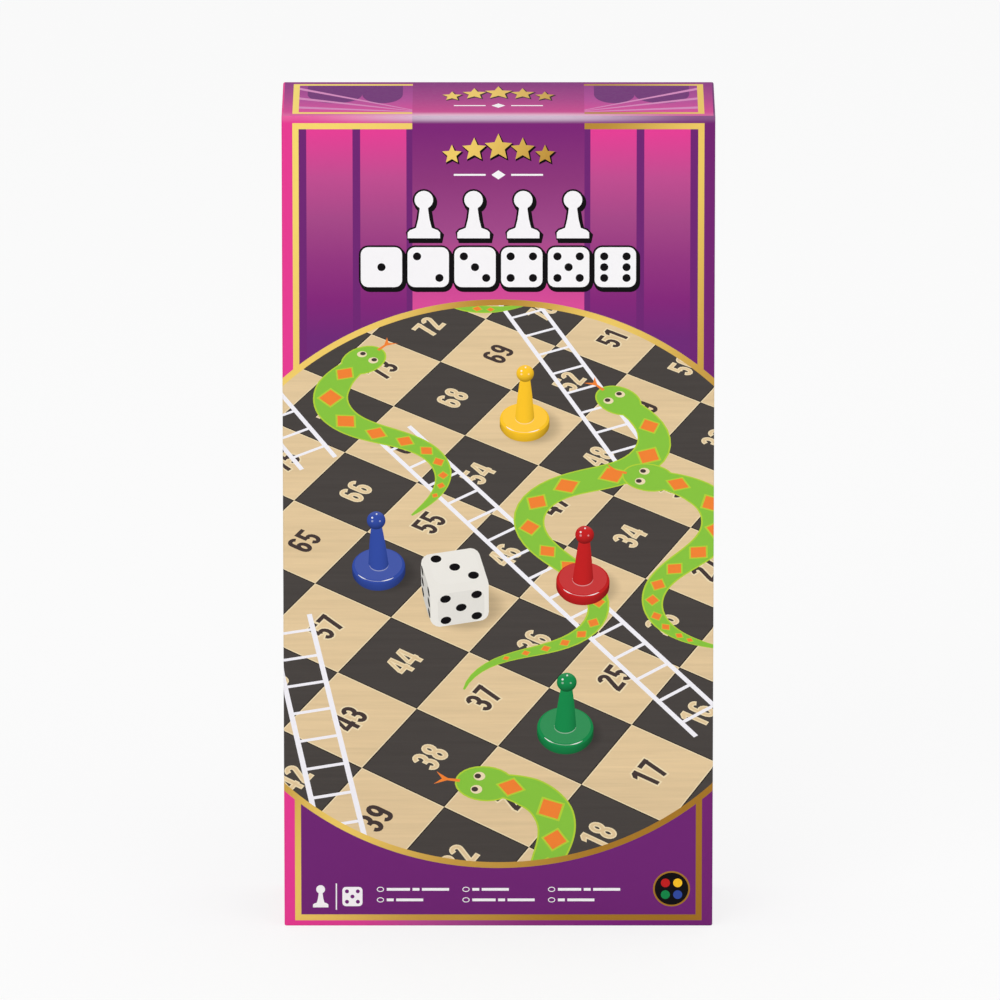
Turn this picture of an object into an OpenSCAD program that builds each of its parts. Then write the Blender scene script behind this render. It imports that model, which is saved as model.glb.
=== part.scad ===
// Boxed snakes and ladders set: a lid-and-base carton standing on its short end,
// with a folding board, a rules leaflet, four pawns and a die in a folded card insert.
// The front of the lid faces -Y, and the origin is at the middle of the underside.

/* [Box] */
// Width of the closed box, side to side
box_w = 136; // [110:1:180]
// Depth of the closed box, from the lid's front to the base's back
box_d = 45; // [38:1:70]
// Height of the closed box as it stands on its short end
box_h = 266; // [210:1:320]
// Thickness of the greyboard in the lid and the base
greyboard_t = 1.5; // [1:0.1:2.2]
// Thickness of the wrapping paper
wrap_t = 0.2; // [0.1:0.05:0.3]
// Depth of the wrap's turn-in, measured inside the rim
turn_in = 16; // [8:1:24]
// Strip of the base that stays in view behind the lid's rim
lid_reveal = 1.5; // [1:0.1:4]
// Clearance between the lid and the base, all round
lid_clearance = 0.3; // [0.2:0.05:0.6]
// Outer radius of the wrapped corners
corner_r = 1; // [0.6:0.1:1.6]
// Width of a corner stay on either side of its corner
stay_w = 11; // [6:1:16]
// Thickness of a corner stay
stay_t = 0.12; // [0.08:0.01:0.2]
// Width of the slit where two walls of a greyboard tray meet
slit_w = 0.2; // [0.1:0.05:0.5]

/* [Folding board] */
// Thickness of the greyboard core of each leaf
core_t = 1.8; // [1.2:0.1:2.5]
// Thickness of the face paper and of the backing paper
leaf_paper_t = 0.2; // [0.15:0.05:0.3]
// Width of backing paper turned over onto the printed side
leaf_turn = 8; // [5:1:14]
// Border of backing paper left in view round the printed face
face_margin = 2; // [1:0.5:4]
// Width of hinge strip glued to each leaf
hinge_w = 9; // [6:1:16]
// Thickness of the hinge strip
hinge_t = 0.12; // [0.08:0.01:0.15]
// Space round the folded board inside the base
board_clearance = 0.6; // [0.4:0.1:2]
// Gap between the printed faces while the board is folded
face_gap = 0.1; // [0.05:0.05:0.4]
// Space between the lid's front and the folded board
lid_space = 0.4; // [0.2:0.1:1]

/* [Rules leaflet] */
// Space between the leaflet and each side of the base
leaflet_side_space = 6; // [2:0.5:20]
// Space above the leaflet inside the base
leaflet_top_space = 85; // [10:1:100]
// Thickness of the leaflet's sheet
sheet_t = 0.15; // [0.08:0.01:0.2]
// Gap between the two halves of the folded sheet
sheet_gap = 0.1; // [0.05:0.05:0.3]

/* [Insert] */
// Thickness of the insert's card
card_t = 1; // [0.6:0.1:1.4]
// Radius of the card's folds, along the middle of the card
fold_r = 1.5; // [1:0.1:2.5]
// Height of the well that holds the playing pieces
well_h = 78; // [44:1:100]
// Space round the insert and in front of it
insert_space = 0.3; // [0.2:0.05:0.6]

/* [Pawn] */
// Height of a pawn
pawn_h = 23.5; // [20:0.5:30]
// Diameter of the foot
foot_d = 14.5; // [12:0.5:17]
// Height of the foot
foot_h = 4; // [3:0.5:5]
// Radius of the foot's upper edge
foot_edge_r = 1.2; // [0.6:0.1:1.6]
// Diameter of the ball head
head_d = 5; // [4.2:0.2:6.4]
// Diameter of the neck under the head
neck_d = 2.8; // [2:0.1:3.4]
// Diameter of the stem where it meets the foot
stem_d = 5.4; // [4.2:0.2:7]
// Radius of the fillet between the stem and the foot
stem_fillet_r = 0.8; // [0.4:0.1:1.4]
// Diameter of the hollow under the foot
hollow_d = 9.5; // [6:0.5:10]
// Depth of the hollow under the foot
hollow_depth = 1.2; // [0.5:0.1:2]

/* [Die] */
// Size of the die, face to face
die_size = 16; // [15:0.5:18]
// Distance that the rounding takes off each corner
die_corner_cut = 2.3; // [1.6:0.1:2.4]
// Diameter of a pip's hollow at the surface
pip_d = 2.9; // [2.2:0.1:3]
// Depth of a pip's hollow
pip_depth = 0.7; // [0.4:0.05:0.9]
// Distance from the middle of a face to a row of pips
pip_pitch = 4.2; // [3.6:0.1:4.2]
// Depth of the paint's surface below the face
paint_depth = 0.2; // [0.1:0.05:0.3]

/* [Hidden] */
$fn = 64;
// Segments in each fold of the card
fold_steps = 5;
// Overrun of every cut past the face that it opens
over = 1;

// Lid and base: both are trays, and the base is a step smaller all round
skin_t = greyboard_t + wrap_t;
wall_t = greyboard_t + 2 * wrap_t;
base_step = wall_t + lid_clearance;
base_w = box_w - 2 * base_step;
base_h = box_h - 2 * base_step;
lid_depth = box_d - lid_reveal;
base_depth = box_d - skin_t - lid_clearance;
base_in_w = base_w - 2 * wall_t;
base_floor_z = base_step + wall_t;
base_in_h = base_h - 2 * wall_t;
base_back_y = box_d / 2 - skin_t;

// Folding board: the leaves lie against each other behind the lid's front
leaf_t = core_t + 2 * leaf_paper_t;
leaf_w = base_in_w - 2 * board_clearance;
leaf_h = base_in_h - 2 * board_clearance;
leaf_z = base_floor_z + insert_space;
spine_x = -leaf_w / 2;
board_front_y = -box_d / 2 + skin_t + lid_space;
fold_y = board_front_y + leaf_t + face_gap / 2;
board_back_y = fold_y + face_gap / 2 + leaf_t;

// Leaflet: one sheet folded in half behind the board
leaflet_t = 2 * sheet_t + sheet_gap;
leaflet_front_y = board_back_y + insert_space;
leaflet_w = base_in_w - 2 * leaflet_side_space;
leaflet_h = base_in_h - leaflet_top_space;

// Insert: platforms above and below an open well
insert_front_y = leaflet_front_y + leaflet_t + insert_space;
insert_w = base_in_w - 2 * insert_space;
insert_low_z = base_floor_z + insert_space;
insert_high_z = base_floor_z + base_in_h - insert_space;
well_low_z = box_h / 2 - well_h / 2;
well_high_z = box_h / 2 + well_h / 2;

// Pieces: four pawns and the die stand in one row on the well's lower wall
piece_count = 5;
piece_pitch = insert_w / piece_count;
piece_y = (insert_front_y + base_back_y - card_t) / 2;
piece_z = well_low_z;
neck_z = pawn_h - head_d / 2;
die_ball_r = die_size * sqrt(3) / 2 - die_corner_cut;
pip_ball_r = (pip_d * pip_d / 4 + pip_depth * pip_depth) / (2 * pip_depth);
// Each face of the die: its number and the turn that brings it from the top
die_faces = [
    [3, [0, 0, 0]], [4, [180, 0, 0]], [5, [90, 0, 0]],
    [2, [-90, 0, 0]], [6, [0, -90, 0]], [1, [0, 90, 0]]
];

// Upright rectangle with rounded corners: centred across, standing on zero
module rounded_rect(w, h, r) {
    translate([-w / 2 + r, 0]) square([w - 2 * r, h]);
    translate([-w / 2, r]) square([w, h - 2 * r]);
    for (side = [-1, 1], z = [r, h - r]) {
        translate([side * (w / 2 - r), z]) circle(r);
    }
}

// Lays an upright outline down along the depth, from y = 0 backwards
module along_depth(depth) {
    translate([0, depth, 0]) rotate([90, 0, 0]) linear_extrude(depth) children();
}

// Outline of a tray's inside at a given distance from its outside
module inset_rect(w, h, inset) {
    translate([-w / 2 + inset, inset]) square([w - 2 * inset, h - 2 * inset]);
}

// The four corner stays of a tray of outer size w by h, lying in its greyboard's skin
module stay_outline(w, h) {
    r = corner_r - wrap_t;
    difference() {
        translate([0, wrap_t]) rounded_rect(w - 2 * wrap_t, h - 2 * wrap_t, r);
        translate([0, wrap_t + stay_t])
            rounded_rect(w - 2 * wrap_t - 2 * stay_t, h - 2 * wrap_t - 2 * stay_t, r - stay_t);
        translate([-w / 2 + stay_w, -over]) square([w - 2 * stay_w, h + 2 * over]);
        translate([-w / 2 - over, stay_w]) square([w + 2 * over, h - 2 * stay_w]);
    }
}

// Corner stays from the tray's face to just inside its rim
module tray_stays(w, h, depth) {
    translate([0, skin_t, 0]) along_depth(depth - skin_t - wrap_t) stay_outline(w, h);
}

// Slits between the four walls, cut on the diagonal at each corner
module tray_slits(w, h, depth) {
    reach = 2 * (wall_t + corner_r);
    for (side = [-1, 1], end = [-1, 1]) {
        translate([side * (w / 2 - skin_t), 0, h / 2 + end * (h / 2 - skin_t)])
            rotate([0, -side * end * 45, 0])
                translate([side > 0 ? -slit_w : -reach, skin_t, -slit_w / 2])
                    cube([reach + slit_w, depth, slit_w]);
    }
}

// Greyboard tray: face towards -Y, open towards +Y, scored and folded from one sheet
module tray_board(w, h, depth) {
    difference() {
        translate([0, wrap_t, wrap_t])
            along_depth(depth - 2 * wrap_t)
                rounded_rect(w - 2 * wrap_t, h - 2 * wrap_t, corner_r - wrap_t);
        translate([0, skin_t, 0]) along_depth(depth) inset_rect(w, h, skin_t);
        tray_stays(w, h, depth);
        tray_slits(w, h, depth);
    }
}

// Paper wrap: over the tray's face and walls, round the rim and down inside
module tray_wrap(w, h, depth) {
    difference() {
        along_depth(depth) rounded_rect(w, h, corner_r);
        translate([0, wrap_t, wrap_t])
            along_depth(depth - 2 * wrap_t)
                rounded_rect(w - 2 * wrap_t, h - 2 * wrap_t, corner_r - wrap_t);
        translate([0, skin_t, 0]) along_depth(depth) inset_rect(w, h, wall_t);
    }
    difference() {
        translate([0, depth - turn_in, 0]) along_depth(turn_in) inset_rect(w, h, skin_t);
        translate([0, skin_t, 0]) along_depth(depth) inset_rect(w, h, wall_t);
    }
}

// The lid opens backwards
module in_lid() {
    translate([0, -box_d / 2, 0]) children();
}

// The base opens forwards and stands inside the lid's lower wall
module in_base() {
    translate([0, box_d / 2, base_step]) mirror([0, 1, 0]) children();
}

module lid_board() {
    color("#b9b2a4") in_lid() tray_board(box_w, box_h, lid_depth);
}

module lid_wrap() {
    color("#8a2f86") in_lid() tray_wrap(box_w, box_h, lid_depth);
}

module lid_corner_stays() {
    color("#d8cbb0") in_lid() tray_stays(box_w, box_h, lid_depth);
}

module base_board() {
    color("#b9b2a4") in_base() tray_board(base_w, base_h, base_depth);
}

module base_wrap() {
    color("#5b1a5b") in_base() tray_wrap(base_w, base_h, base_depth);
}

module base_corner_stays() {
    color("#d8cbb0") in_base() tray_stays(base_w, base_h, base_depth);
}

// Middle line of the insert's card, as [depth, height] from the lower leg to the upper
function insert_path() = [
    [base_back_y, insert_low_z + card_t / 2],
    [insert_front_y + card_t / 2, insert_low_z + card_t / 2],
    [insert_front_y + card_t / 2, well_low_z - card_t / 2],
    [base_back_y - card_t / 2, well_low_z - card_t / 2],
    [base_back_y - card_t / 2, well_high_z + card_t / 2],
    [insert_front_y + card_t / 2, well_high_z + card_t / 2],
    [insert_front_y + card_t / 2, insert_high_z - card_t / 2],
    [base_back_y, insert_high_z - card_t / 2]
];

// Direction from one point to the next, and the direction to its left
function heading(a, b) = (b - a) / norm(b - a);
function left_of(d) = [-d[1], d[0]];

// Round fold at a corner, on the line that lies `side` to the left of the middle line
function fold_arc(corner, d_in, d_out, side) =
    let (turn = sign(d_in[0] * d_out[1] - d_in[1] * d_out[0]),
         centre = corner - d_in * fold_r + d_out * fold_r,
         r = fold_r - turn * side)
    [for (k = [0 : fold_steps])
        let (a = 90 * k / fold_steps)
        centre + r * (d_in * sin(a) - d_out * cos(a))];

// One face of a folded strip that follows a path with right-angled folds
function strip_side(path, side) = concat(
    [path[0] + side * left_of(heading(path[0], path[1]))],
    [for (i = [1 : len(path) - 2])
        each fold_arc(path[i], heading(path[i - 1], path[i]),
                      heading(path[i], path[i + 1]), side)],
    [path[len(path) - 1]
        + side * left_of(heading(path[len(path) - 2], path[len(path) - 1]))]);

function reversed(list) = [for (i = [len(list) - 1 : -1 : 0]) list[i]];

// Card insert: one strip folded into two platforms and the well between them
module insert() {
    path = insert_path();
    color("#e9e4da")
        translate([-insert_w / 2, 0, 0])
            rotate([90, 0, 90])
                linear_extrude(insert_w)
                    polygon(concat(strip_side(path, card_t / 2),
                                   reversed(strip_side(path, -card_t / 2))));
}

// A leaf lies with its printed side towards -Y: the front leaf is turned to face it
module rear_leaf_place() {
    translate([0, fold_y + face_gap / 2, leaf_z]) children();
}

module front_leaf_place() {
    translate([0, fold_y - face_gap / 2, leaf_z]) mirror([0, 1, 0]) children();
}

// Upright block from the spine to a free edge, inset from the leaf's three free edges
module leaf_block(inset, from_y, to_y) {
    translate([spine_x, from_y, inset])
        cube([leaf_w - inset, to_y - from_y, leaf_h - 2 * inset]);
}

// Border along the three free edges, from a depth to a depth
module leaf_border(from_y, to_y, outer_inset, width) {
    difference() {
        leaf_block(outer_inset, from_y, to_y);
        translate([spine_x - over, from_y - over, outer_inset + width])
            cube([leaf_w - outer_inset - width + over, to_y - from_y + 2 * over,
                  leaf_h - 2 * outer_inset - 2 * width]);
    }
}

// Strip of hinge on one leaf, under its face paper, or the recess that it lies in
module hinge_leg(overrun = 0) {
    translate([spine_x - overrun, leaf_paper_t - overrun, leaf_turn])
        cube([hinge_w + overrun, hinge_t + overrun, leaf_h - 2 * leaf_turn]);
}

// Greyboard core, rebated for the turned border and for the hinge strip
module leaf_core() {
    difference() {
        leaf_block(leaf_paper_t, leaf_paper_t, leaf_t - leaf_paper_t);
        leaf_border(-over, 2 * leaf_paper_t, -over, leaf_turn + over);
        hinge_leg(over);
    }
}

// Face paper: the printed squares, short of the free edges by the margin
module leaf_face() {
    leaf_block(face_margin, 0, leaf_paper_t);
}

// Backing paper: over the back, round three edges and onto the printed side
module leaf_back() {
    leaf_block(0, leaf_t - leaf_paper_t, leaf_t);
    leaf_border(leaf_paper_t, leaf_t, 0, leaf_paper_t);
    leaf_border(leaf_paper_t, 2 * leaf_paper_t, 0, leaf_turn);
}

module rear_leaf_core() {
    color("#b9b2a4") rear_leaf_place() leaf_core();
}

module rear_leaf_face() {
    color("#dcbf92") rear_leaf_place() leaf_face();
}

module rear_leaf_back() {
    color("#4a1650") rear_leaf_place() leaf_back();
}

module front_leaf_core() {
    color("#b9b2a4") front_leaf_place() leaf_core();
}

module front_leaf_face() {
    color("#dcbf92") front_leaf_place() leaf_face();
}

module front_leaf_back() {
    color("#4a1650") front_leaf_place() leaf_back();
}

// Hinge strip: a leg under each face paper and a bend round their edges at the spine
module board_hinge_tape() {
    bend = face_gap + 2 * (leaf_paper_t + hinge_t);
    color("#3c1240") {
        rear_leaf_place() hinge_leg();
        front_leaf_place() hinge_leg();
        translate([spine_x - hinge_t, fold_y - bend / 2, leaf_z + leaf_turn])
            cube([hinge_t, bend, leaf_h - 2 * leaf_turn]);
    }
}

// Rules leaflet: two halves of one sheet joined by the fold at the left
module rules_leaflet() {
    color("white") translate([0, leaflet_front_y, leaf_z])
        difference() {
            translate([-leaflet_w / 2, 0, 0]) cube([leaflet_w, leaflet_t, leaflet_h]);
            translate([-leaflet_w / 2 + sheet_t, sheet_t, -over])
                cube([leaflet_w, sheet_gap, leaflet_h + 2 * over]);
        }
}

// Place of a piece in the row, counted from the left
module in_row(index) {
    translate([(index - (piece_count - 1) / 2) * piece_pitch, piece_y, piece_z]) children();
}

// Half outline of a pawn, to be turned about its axis
module pawn_outline() {
    difference() {
        union() {
            square([foot_d / 2 - foot_edge_r, foot_h]);
            square([foot_d / 2, foot_h - foot_edge_r]);
            translate([foot_d / 2 - foot_edge_r, foot_h - foot_edge_r]) circle(foot_edge_r);
            polygon([[0, 0], [stem_d / 2, 0], [stem_d / 2, foot_h + stem_fillet_r],
                     [neck_d / 2, neck_z], [0, neck_z]]);
            difference() {
                square([stem_d / 2 + stem_fillet_r, foot_h + stem_fillet_r]);
                translate([stem_d / 2 + stem_fillet_r, foot_h + stem_fillet_r])
                    circle(stem_fillet_r);
            }
        }
        polygon([[0, -over], [hollow_d / 2, -over], [hollow_d / 2, 0],
                 [hollow_d / 2 - hollow_depth / 2, hollow_depth], [0, hollow_depth]]);
    }
}

module pawn() {
    rotate_extrude() pawn_outline();
    translate([0, 0, neck_z]) sphere(d = head_d);
}

module pawn_red() {
    color("#c8202a") in_row(0) pawn();
}

module pawn_yellow() {
    color("#f4b81c") in_row(1) pawn();
}

module pawn_green() {
    color("#128a48") in_row(2) pawn();
}

module pawn_blue() {
    color("#2f3fa0") in_row(3) pawn();
}

// Places of a face's pips, in steps from the middle of the face
function pip_steps(number) = concat(
    number % 2 == 1 ? [[0, 0]] : [],
    number > 1 ? [[-1, -1], [1, 1]] : [],
    number > 3 ? [[-1, 1], [1, -1]] : [],
    number > 5 ? [[-1, 0], [1, 0]] : []);

// Balls whose caps are the hollows of all the pips
module pip_balls() {
    for (face = die_faces, place = pip_steps(face[0])) {
        rotate(face[1])
            translate([place[0] * pip_pitch, place[1] * pip_pitch,
                       die_size / 2 + pip_ball_r - pip_depth])
                sphere(r = pip_ball_r);
    }
}

module in_die_place() {
    in_row(4) translate([0, 0, die_size / 2]) children();
}

// Die: a cube whose edges and corners are rounded off by a ball
module die_body() {
    color("#f2f0ea") in_die_place()
        difference() {
            intersection() {
                cube(die_size, center = true);
                sphere(r = die_ball_r, $fn = 96);
            }
            pip_balls();
        }
}

// Paint in the hollows of the pips
module die_pips() {
    color("#161616") in_die_place()
        intersection() {
            pip_balls();
            cube(die_size - 2 * paint_depth, center = true);
        }
}

lid_board();
lid_wrap();
lid_corner_stays();
base_board();
base_wrap();
base_corner_stays();
insert();
rear_leaf_core();
rear_leaf_face();
rear_leaf_back();
front_leaf_core();
front_leaf_face();
front_leaf_back();
board_hinge_tape();
rules_leaflet();
pawn_red();
pawn_yellow();
pawn_green();
pawn_blue();
die_body();
die_pips();
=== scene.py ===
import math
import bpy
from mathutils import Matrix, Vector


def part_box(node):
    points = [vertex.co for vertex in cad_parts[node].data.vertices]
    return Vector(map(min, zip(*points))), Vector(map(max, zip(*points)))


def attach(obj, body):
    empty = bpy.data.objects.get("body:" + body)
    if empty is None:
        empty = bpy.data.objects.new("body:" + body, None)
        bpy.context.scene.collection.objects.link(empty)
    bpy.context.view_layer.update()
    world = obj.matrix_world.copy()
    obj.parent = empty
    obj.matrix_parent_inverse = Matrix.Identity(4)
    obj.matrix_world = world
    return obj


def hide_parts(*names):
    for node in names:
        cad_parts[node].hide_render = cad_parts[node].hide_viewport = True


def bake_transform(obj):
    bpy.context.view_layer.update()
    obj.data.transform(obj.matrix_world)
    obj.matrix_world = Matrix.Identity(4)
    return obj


bl_info = {
    "name": "Boxed Snakes and Ladders Set",
    "version": (1, 0, 0),
    "blender": (4, 5, 0),
    "location": "View3D > Sidebar > Game Box",
    "description": "Prints, papers and plastics of a boxed snakes and ladders set, on its packed frame",
    "category": "Object",
}

import bmesh
import bpy
from mathutils import Matrix, Vector
from mathutils.geometry import convex_hull_2d, delaunay_2d_cdt

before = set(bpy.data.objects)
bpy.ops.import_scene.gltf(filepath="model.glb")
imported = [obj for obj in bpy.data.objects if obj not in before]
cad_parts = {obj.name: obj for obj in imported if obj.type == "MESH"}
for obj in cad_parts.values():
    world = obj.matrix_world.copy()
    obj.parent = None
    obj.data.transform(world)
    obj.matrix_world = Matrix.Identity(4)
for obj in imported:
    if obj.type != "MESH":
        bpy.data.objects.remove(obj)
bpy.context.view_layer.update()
MM = 0.001


# Colours and settings

def ink(code):
    """The linear colour of a six-figure screen colour."""
    parts = [int(code[i:i + 2], 16) / 255 for i in (0, 2, 4)]
    return tuple(p / 12.92 if p <= 0.04045 else ((p + 0.055) / 1.055) ** 2.4 for p in parts)


def colour(name, description, code):
    return bpy.props.FloatVectorProperty(
        name=name, description=description, subtype="COLOR", size=3, min=0, max=1, default=ink(code))


def length(name, description, millimetres):
    return bpy.props.FloatProperty(
        name=name, description=description, default=millimetres * MM, min=0, unit="LENGTH", precision=5)


def angle(name, description, degrees):
    return bpy.props.FloatProperty(
        name=name, description=description, default=math.radians(degrees), subtype="ANGLE")


def share(name, description, value):
    return bpy.props.FloatProperty(
        name=name, description=description, default=value, min=0, max=1, subtype="FACTOR")


class LidPrint(bpy.types.PropertyGroup):
    """The printed paper of the lid."""
    fold_radius: length("Fold radius", "Radius of the paper over the lid's edges", 0.6)
    frame_inset: length("Frame inset", "From the side folds to the gold frame", 3.4)
    frame_top: length("Frame top", "From the top fold to the gold frame", 2.25)
    frame_line: length("Frame line", "Width of the gold frame's line", 1.95)
    strip: length("Strip", "Width of the dark strips between the panels", 2.4)
    panel: length("Panel", "Width of the shaded panels", 14.5)
    centre_panel: length("Centre panel", "Width of the middle panel", 54)
    oval_width: length("Oval width", "Full width of the picture's oval before the edges cut it", 197.4)
    oval_height: length("Oval height", "Full height of the picture's oval", 187.2)
    oval_rise: length("Oval rise", "Height of the oval's centre above the lid's lower end", 112.9)
    magenta: colour("Magenta", "Ground at the left", "EA3D93")
    purple: colour("Purple", "Ground at the right", "742672")
    deep_purple: colour("Deep purple", "Strips, and the ground below the oval", "712775")
    gold_light: colour("Light gold", "Gold at the upper left", "FBDD72")
    gold_dark: colour("Dark gold", "Gold at the lower right", "A27127")
    white: colour("White", "Ornaments", "FAF8FA")
    black: colour("Black", "Outlines of the ornaments", "0D0A0D")


class BoardPrint(bpy.types.PropertyGroup):
    """The squares, snakes and ladders, on the board and in the lid's picture."""
    square: length("Square", "Side of one square", 25)
    rim: length("Rim", "Width of the thin line along the edge of a square", 0.3)
    digit: share("Digit height", "Height of a number as a share of its square", 0.3)
    beige: colour("Beige", "Light squares", "E4C99E")
    charcoal: colour("Charcoal", "Dark squares", "494441")
    cream: colour("Cream", "Thin lines, and the numbers on dark squares", "F0DDB6")
    digit_dark: colour("Dark digit", "Numbers on light squares", "463A38")
    green: colour("Green", "Snakes", "8AC641")
    edge: colour("Edge", "Rims of the snakes and their marks", "B5D33C")
    orange: colour("Orange", "Marks on the snakes, and their tongues", "F58536")
    outline: colour("Outline", "Thin rims of the dark squares", "2B2522")
    ladder: colour("Ladder", "Rails and rungs", "F6F4FA")


class Picture(bpy.types.PropertyGroup):
    """How the lid's picture sees the board."""
    elevation: angle("Elevation", "Height of the view above the board", 45)
    turn: angle("Turn", "How far the board is turned", 57.5)
    distance: length("Distance", "From the viewer to the middle of the picture", 680)
    scale: bpy.props.FloatProperty(
        name="Scale", description="Printed size over real size at the middle", default=1.16, min=0.1)


class Plastics(bpy.types.PropertyGroup):
    """The pawns and the die."""
    red: colour("Red", "Red pawn", "C32021")
    yellow: colour("Yellow", "Yellow pawn", "FDC62A")
    green: colour("Green", "Green pawn", "15894A")
    blue: colour("Blue", "Blue pawn", "334CA2")
    ivory: colour("Ivory", "Die", "E9E6DF")
    pips: colour("Pips", "Paint in the die's hollows", "121012")


class Studio(bpy.types.PropertyGroup):
    """Floor, lamps and camera."""
    floor: colour("Floor", "Plain pale floor", "FCFCFC")
    distance: length("Camera distance", "From the camera to the lid's front", 5000)
    elevation: angle("Camera elevation", "Height of the view above the floor", 16)
    sky: bpy.props.FloatProperty(name="Sky", description="Strength of the even light", default=0.59)
    floor_glow: share("Floor glow", "How much of the floor's white the camera sees past its shadows", 0.78)


GROUPS = {"game_lid": LidPrint, "game_board": BoardPrint, "game_picture": Picture,
          "game_plastics": Plastics, "game_studio": Studio}
PAWN_NAMES = ("red", "yellow", "green", "blue")


# Finishes

class Value:
    """A socket of a finish. Maths on it adds Math nodes."""

    def __init__(self, finish, socket):
        self.finish = finish
        self.socket = socket

    def math(self, operation, *others):
        return self.finish.math(operation, self, *others)

    def __add__(self, other):
        return self.math("ADD", other)

    def __sub__(self, other):
        return self.math("SUBTRACT", other)

    def __rsub__(self, other):
        return self.finish.math("SUBTRACT", other, self)

    def __mul__(self, other):
        return self.math("MULTIPLY", other)

    def __truediv__(self, other):
        return self.math("DIVIDE", other)

    def __pow__(self, other):
        return self.math("POWER", other)

    __radd__ = __add__
    __rmul__ = __mul__


class Finish:
    """A procedural material round one Principled BSDF."""

    def __init__(self, name, colour, roughness, **sockets):
        self.material = bpy.data.materials.new(name)
        self.material.use_nodes = True
        self.tree = self.material.node_tree
        self.tree.nodes.clear()
        self.output = self.tree.nodes.new("ShaderNodeOutputMaterial")
        self.shader = self.tree.nodes.new("ShaderNodeBsdfPrincipled")
        self.tree.links.new(self.shader.outputs[0], self.output.inputs["Surface"])
        self.set("Base Color", colour)
        self.set("Roughness", roughness)
        for socket, value in sockets.items():
            self.set(socket.replace("_", " ").title().replace("Ior", "IOR"), value)

    def set(self, socket, value):
        self.put(self.shader.inputs[socket], value)

    def put(self, socket, value):
        if isinstance(value, Value):
            self.tree.links.new(value.socket, socket)
        elif isinstance(value, tuple) and len(value) == 3 and len(socket.default_value) == 4:
            socket.default_value = (*value, 1)
        else:
            socket.default_value = value

    def node(self, kind, settings=None, inputs=None, output=0):
        made = self.tree.nodes.new(kind)
        for key, value in (settings or {}).items():
            if key == "stops":
                ramp = made.color_ramp
                while len(ramp.elements) < len(value):
                    ramp.elements.new(0.5)
                for element, (place, stop) in zip(ramp.elements, value):
                    element.position = place
                    element.color = (*(ink(stop) if isinstance(stop, str) else stop), 1)
            else:
                setattr(made, key, value)
        for key, value in (inputs or {}).items():
            self.put(made.inputs[key], value)
        return Value(self, made.outputs[output])

    def math(self, operation, *values):
        return self.node("ShaderNodeMath", {"operation": operation}, dict(enumerate(values)))

    def parts(self, vector):
        """A vector's three values."""
        split = self.node("ShaderNodeSeparateXYZ", None, {0: vector})
        return [Value(self, socket) for socket in split.socket.node.outputs]

    def place(self):
        """Object coordinates in millimetres, as three values."""
        return [part / MM for part in self.parts(self.node("ShaderNodeTexCoord", output="Object"))]

    def noise(self, scale, detail=2, roughness=0.5, finer=(1, 1, 1)):
        """Noise on the object, finer along each axis by a factor."""
        at = self.node("ShaderNodeTexCoord", output="Object")
        at = self.node("ShaderNodeMapping", None, {"Vector": at, "Scale": finer})
        return self.node("ShaderNodeTexNoise", None,
                         {"Vector": at, "Scale": scale, "Detail": detail, "Roughness": roughness})

    def ramp(self, factor, stops, blend="LINEAR"):
        """A run of colours, each given by its place and its linear colour or screen code."""
        made = self.node("ShaderNodeValToRGB", {"stops": stops}, {0: factor})
        made.socket.node.color_ramp.interpolation = blend
        return made

    def mix(self, factor, first, second):
        """A mix of two colours, which this node takes on sockets 6 and 7 and gives on 2."""
        return self.node("ShaderNodeMix", {"data_type": "RGBA"}, {0: factor, 6: first, 7: second}, 2)

    def toned(self, colour, tone):
        """A colour, darker where the tone is under 1 and lighter where it is over."""
        return self.node("ShaderNodeVectorMath", {"operation": "SCALE"}, {"Vector": colour, "Scale": tone})

    def smooth(self, value, low, high, start=0.0, end=1.0):
        """From start at low to end at high, eased at both ends."""
        return self.node("ShaderNodeMapRange", {"interpolation_type": "SMOOTHSTEP"},
                         {0: value, 1: low, 2: high, 3: start, 4: end})

    def bump(self, height, strength, depth):
        """Relief of a depth in millimetres."""
        self.set("Normal", self.node("ShaderNodeBump", None,
                                     {"Height": height, "Strength": strength, "Distance": depth * MM}))


def laminated(name, colour, patterned=True):
    """Printed paper under clear film: a soft sheen that the paper's fibres break up a little."""
    finish = Finish(name, colour, 0.42, specular_ior_level=0.06)
    if patterned:
        fibres = finish.noise(900, 3)
        finish.set("Roughness", fibres * 0.16 + 0.34)
        finish.bump(fibres, 0.08, 0.05)
    return finish


# Flat shapes, in millimetres

def rectangle(x0, y0, x1, y1):
    """Its corners, counterclockwise, whichever side is named first."""
    x0, x1 = sorted((x0, x1))
    return [(x0, y0), (x1, y0), (x1, y1), (x0, y1)]


def arc(x, y, rx, ry, start, end, steps):
    turns = [math.radians(start + (end - start) * i / steps) for i in range(steps + 1)]
    return [(x + rx * math.cos(t), y + ry * math.sin(t)) for t in turns]


def oval(x, y, rx, ry, steps=32):
    return arc(x, y, rx, ry, 0, 360, steps)[:-1]


def rounded(x0, y0, x1, y1, r, steps=5):
    corners = [(x1 - r, y1 - r, 0), (x0 + r, y1 - r, 90), (x0 + r, y0 + r, 180), (x1 - r, y0 + r, 270)]
    return [p for x, y, a in corners for p in arc(x, y, r, r, a, a + 90, steps)]


def star(x, y, outer, inner, points=5):
    """A star with one point straight up."""
    turns = [math.radians(90 + 180 * i / points) for i in range(2 * points)]
    return [(x + r * math.cos(t), y + r * math.sin(t)) for r, t in zip((outer, inner) * points, turns)]


def moved(loop, dx, dy, scale=1.0):
    return [(x * scale + dx, y * scale + dy) for x, y in loop]


def turned(loop, degrees):
    c, s = math.cos(math.radians(degrees)), math.sin(math.radians(degrees))
    return [(x * c - y * s, x * s + y * c) for x, y in loop]


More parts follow.
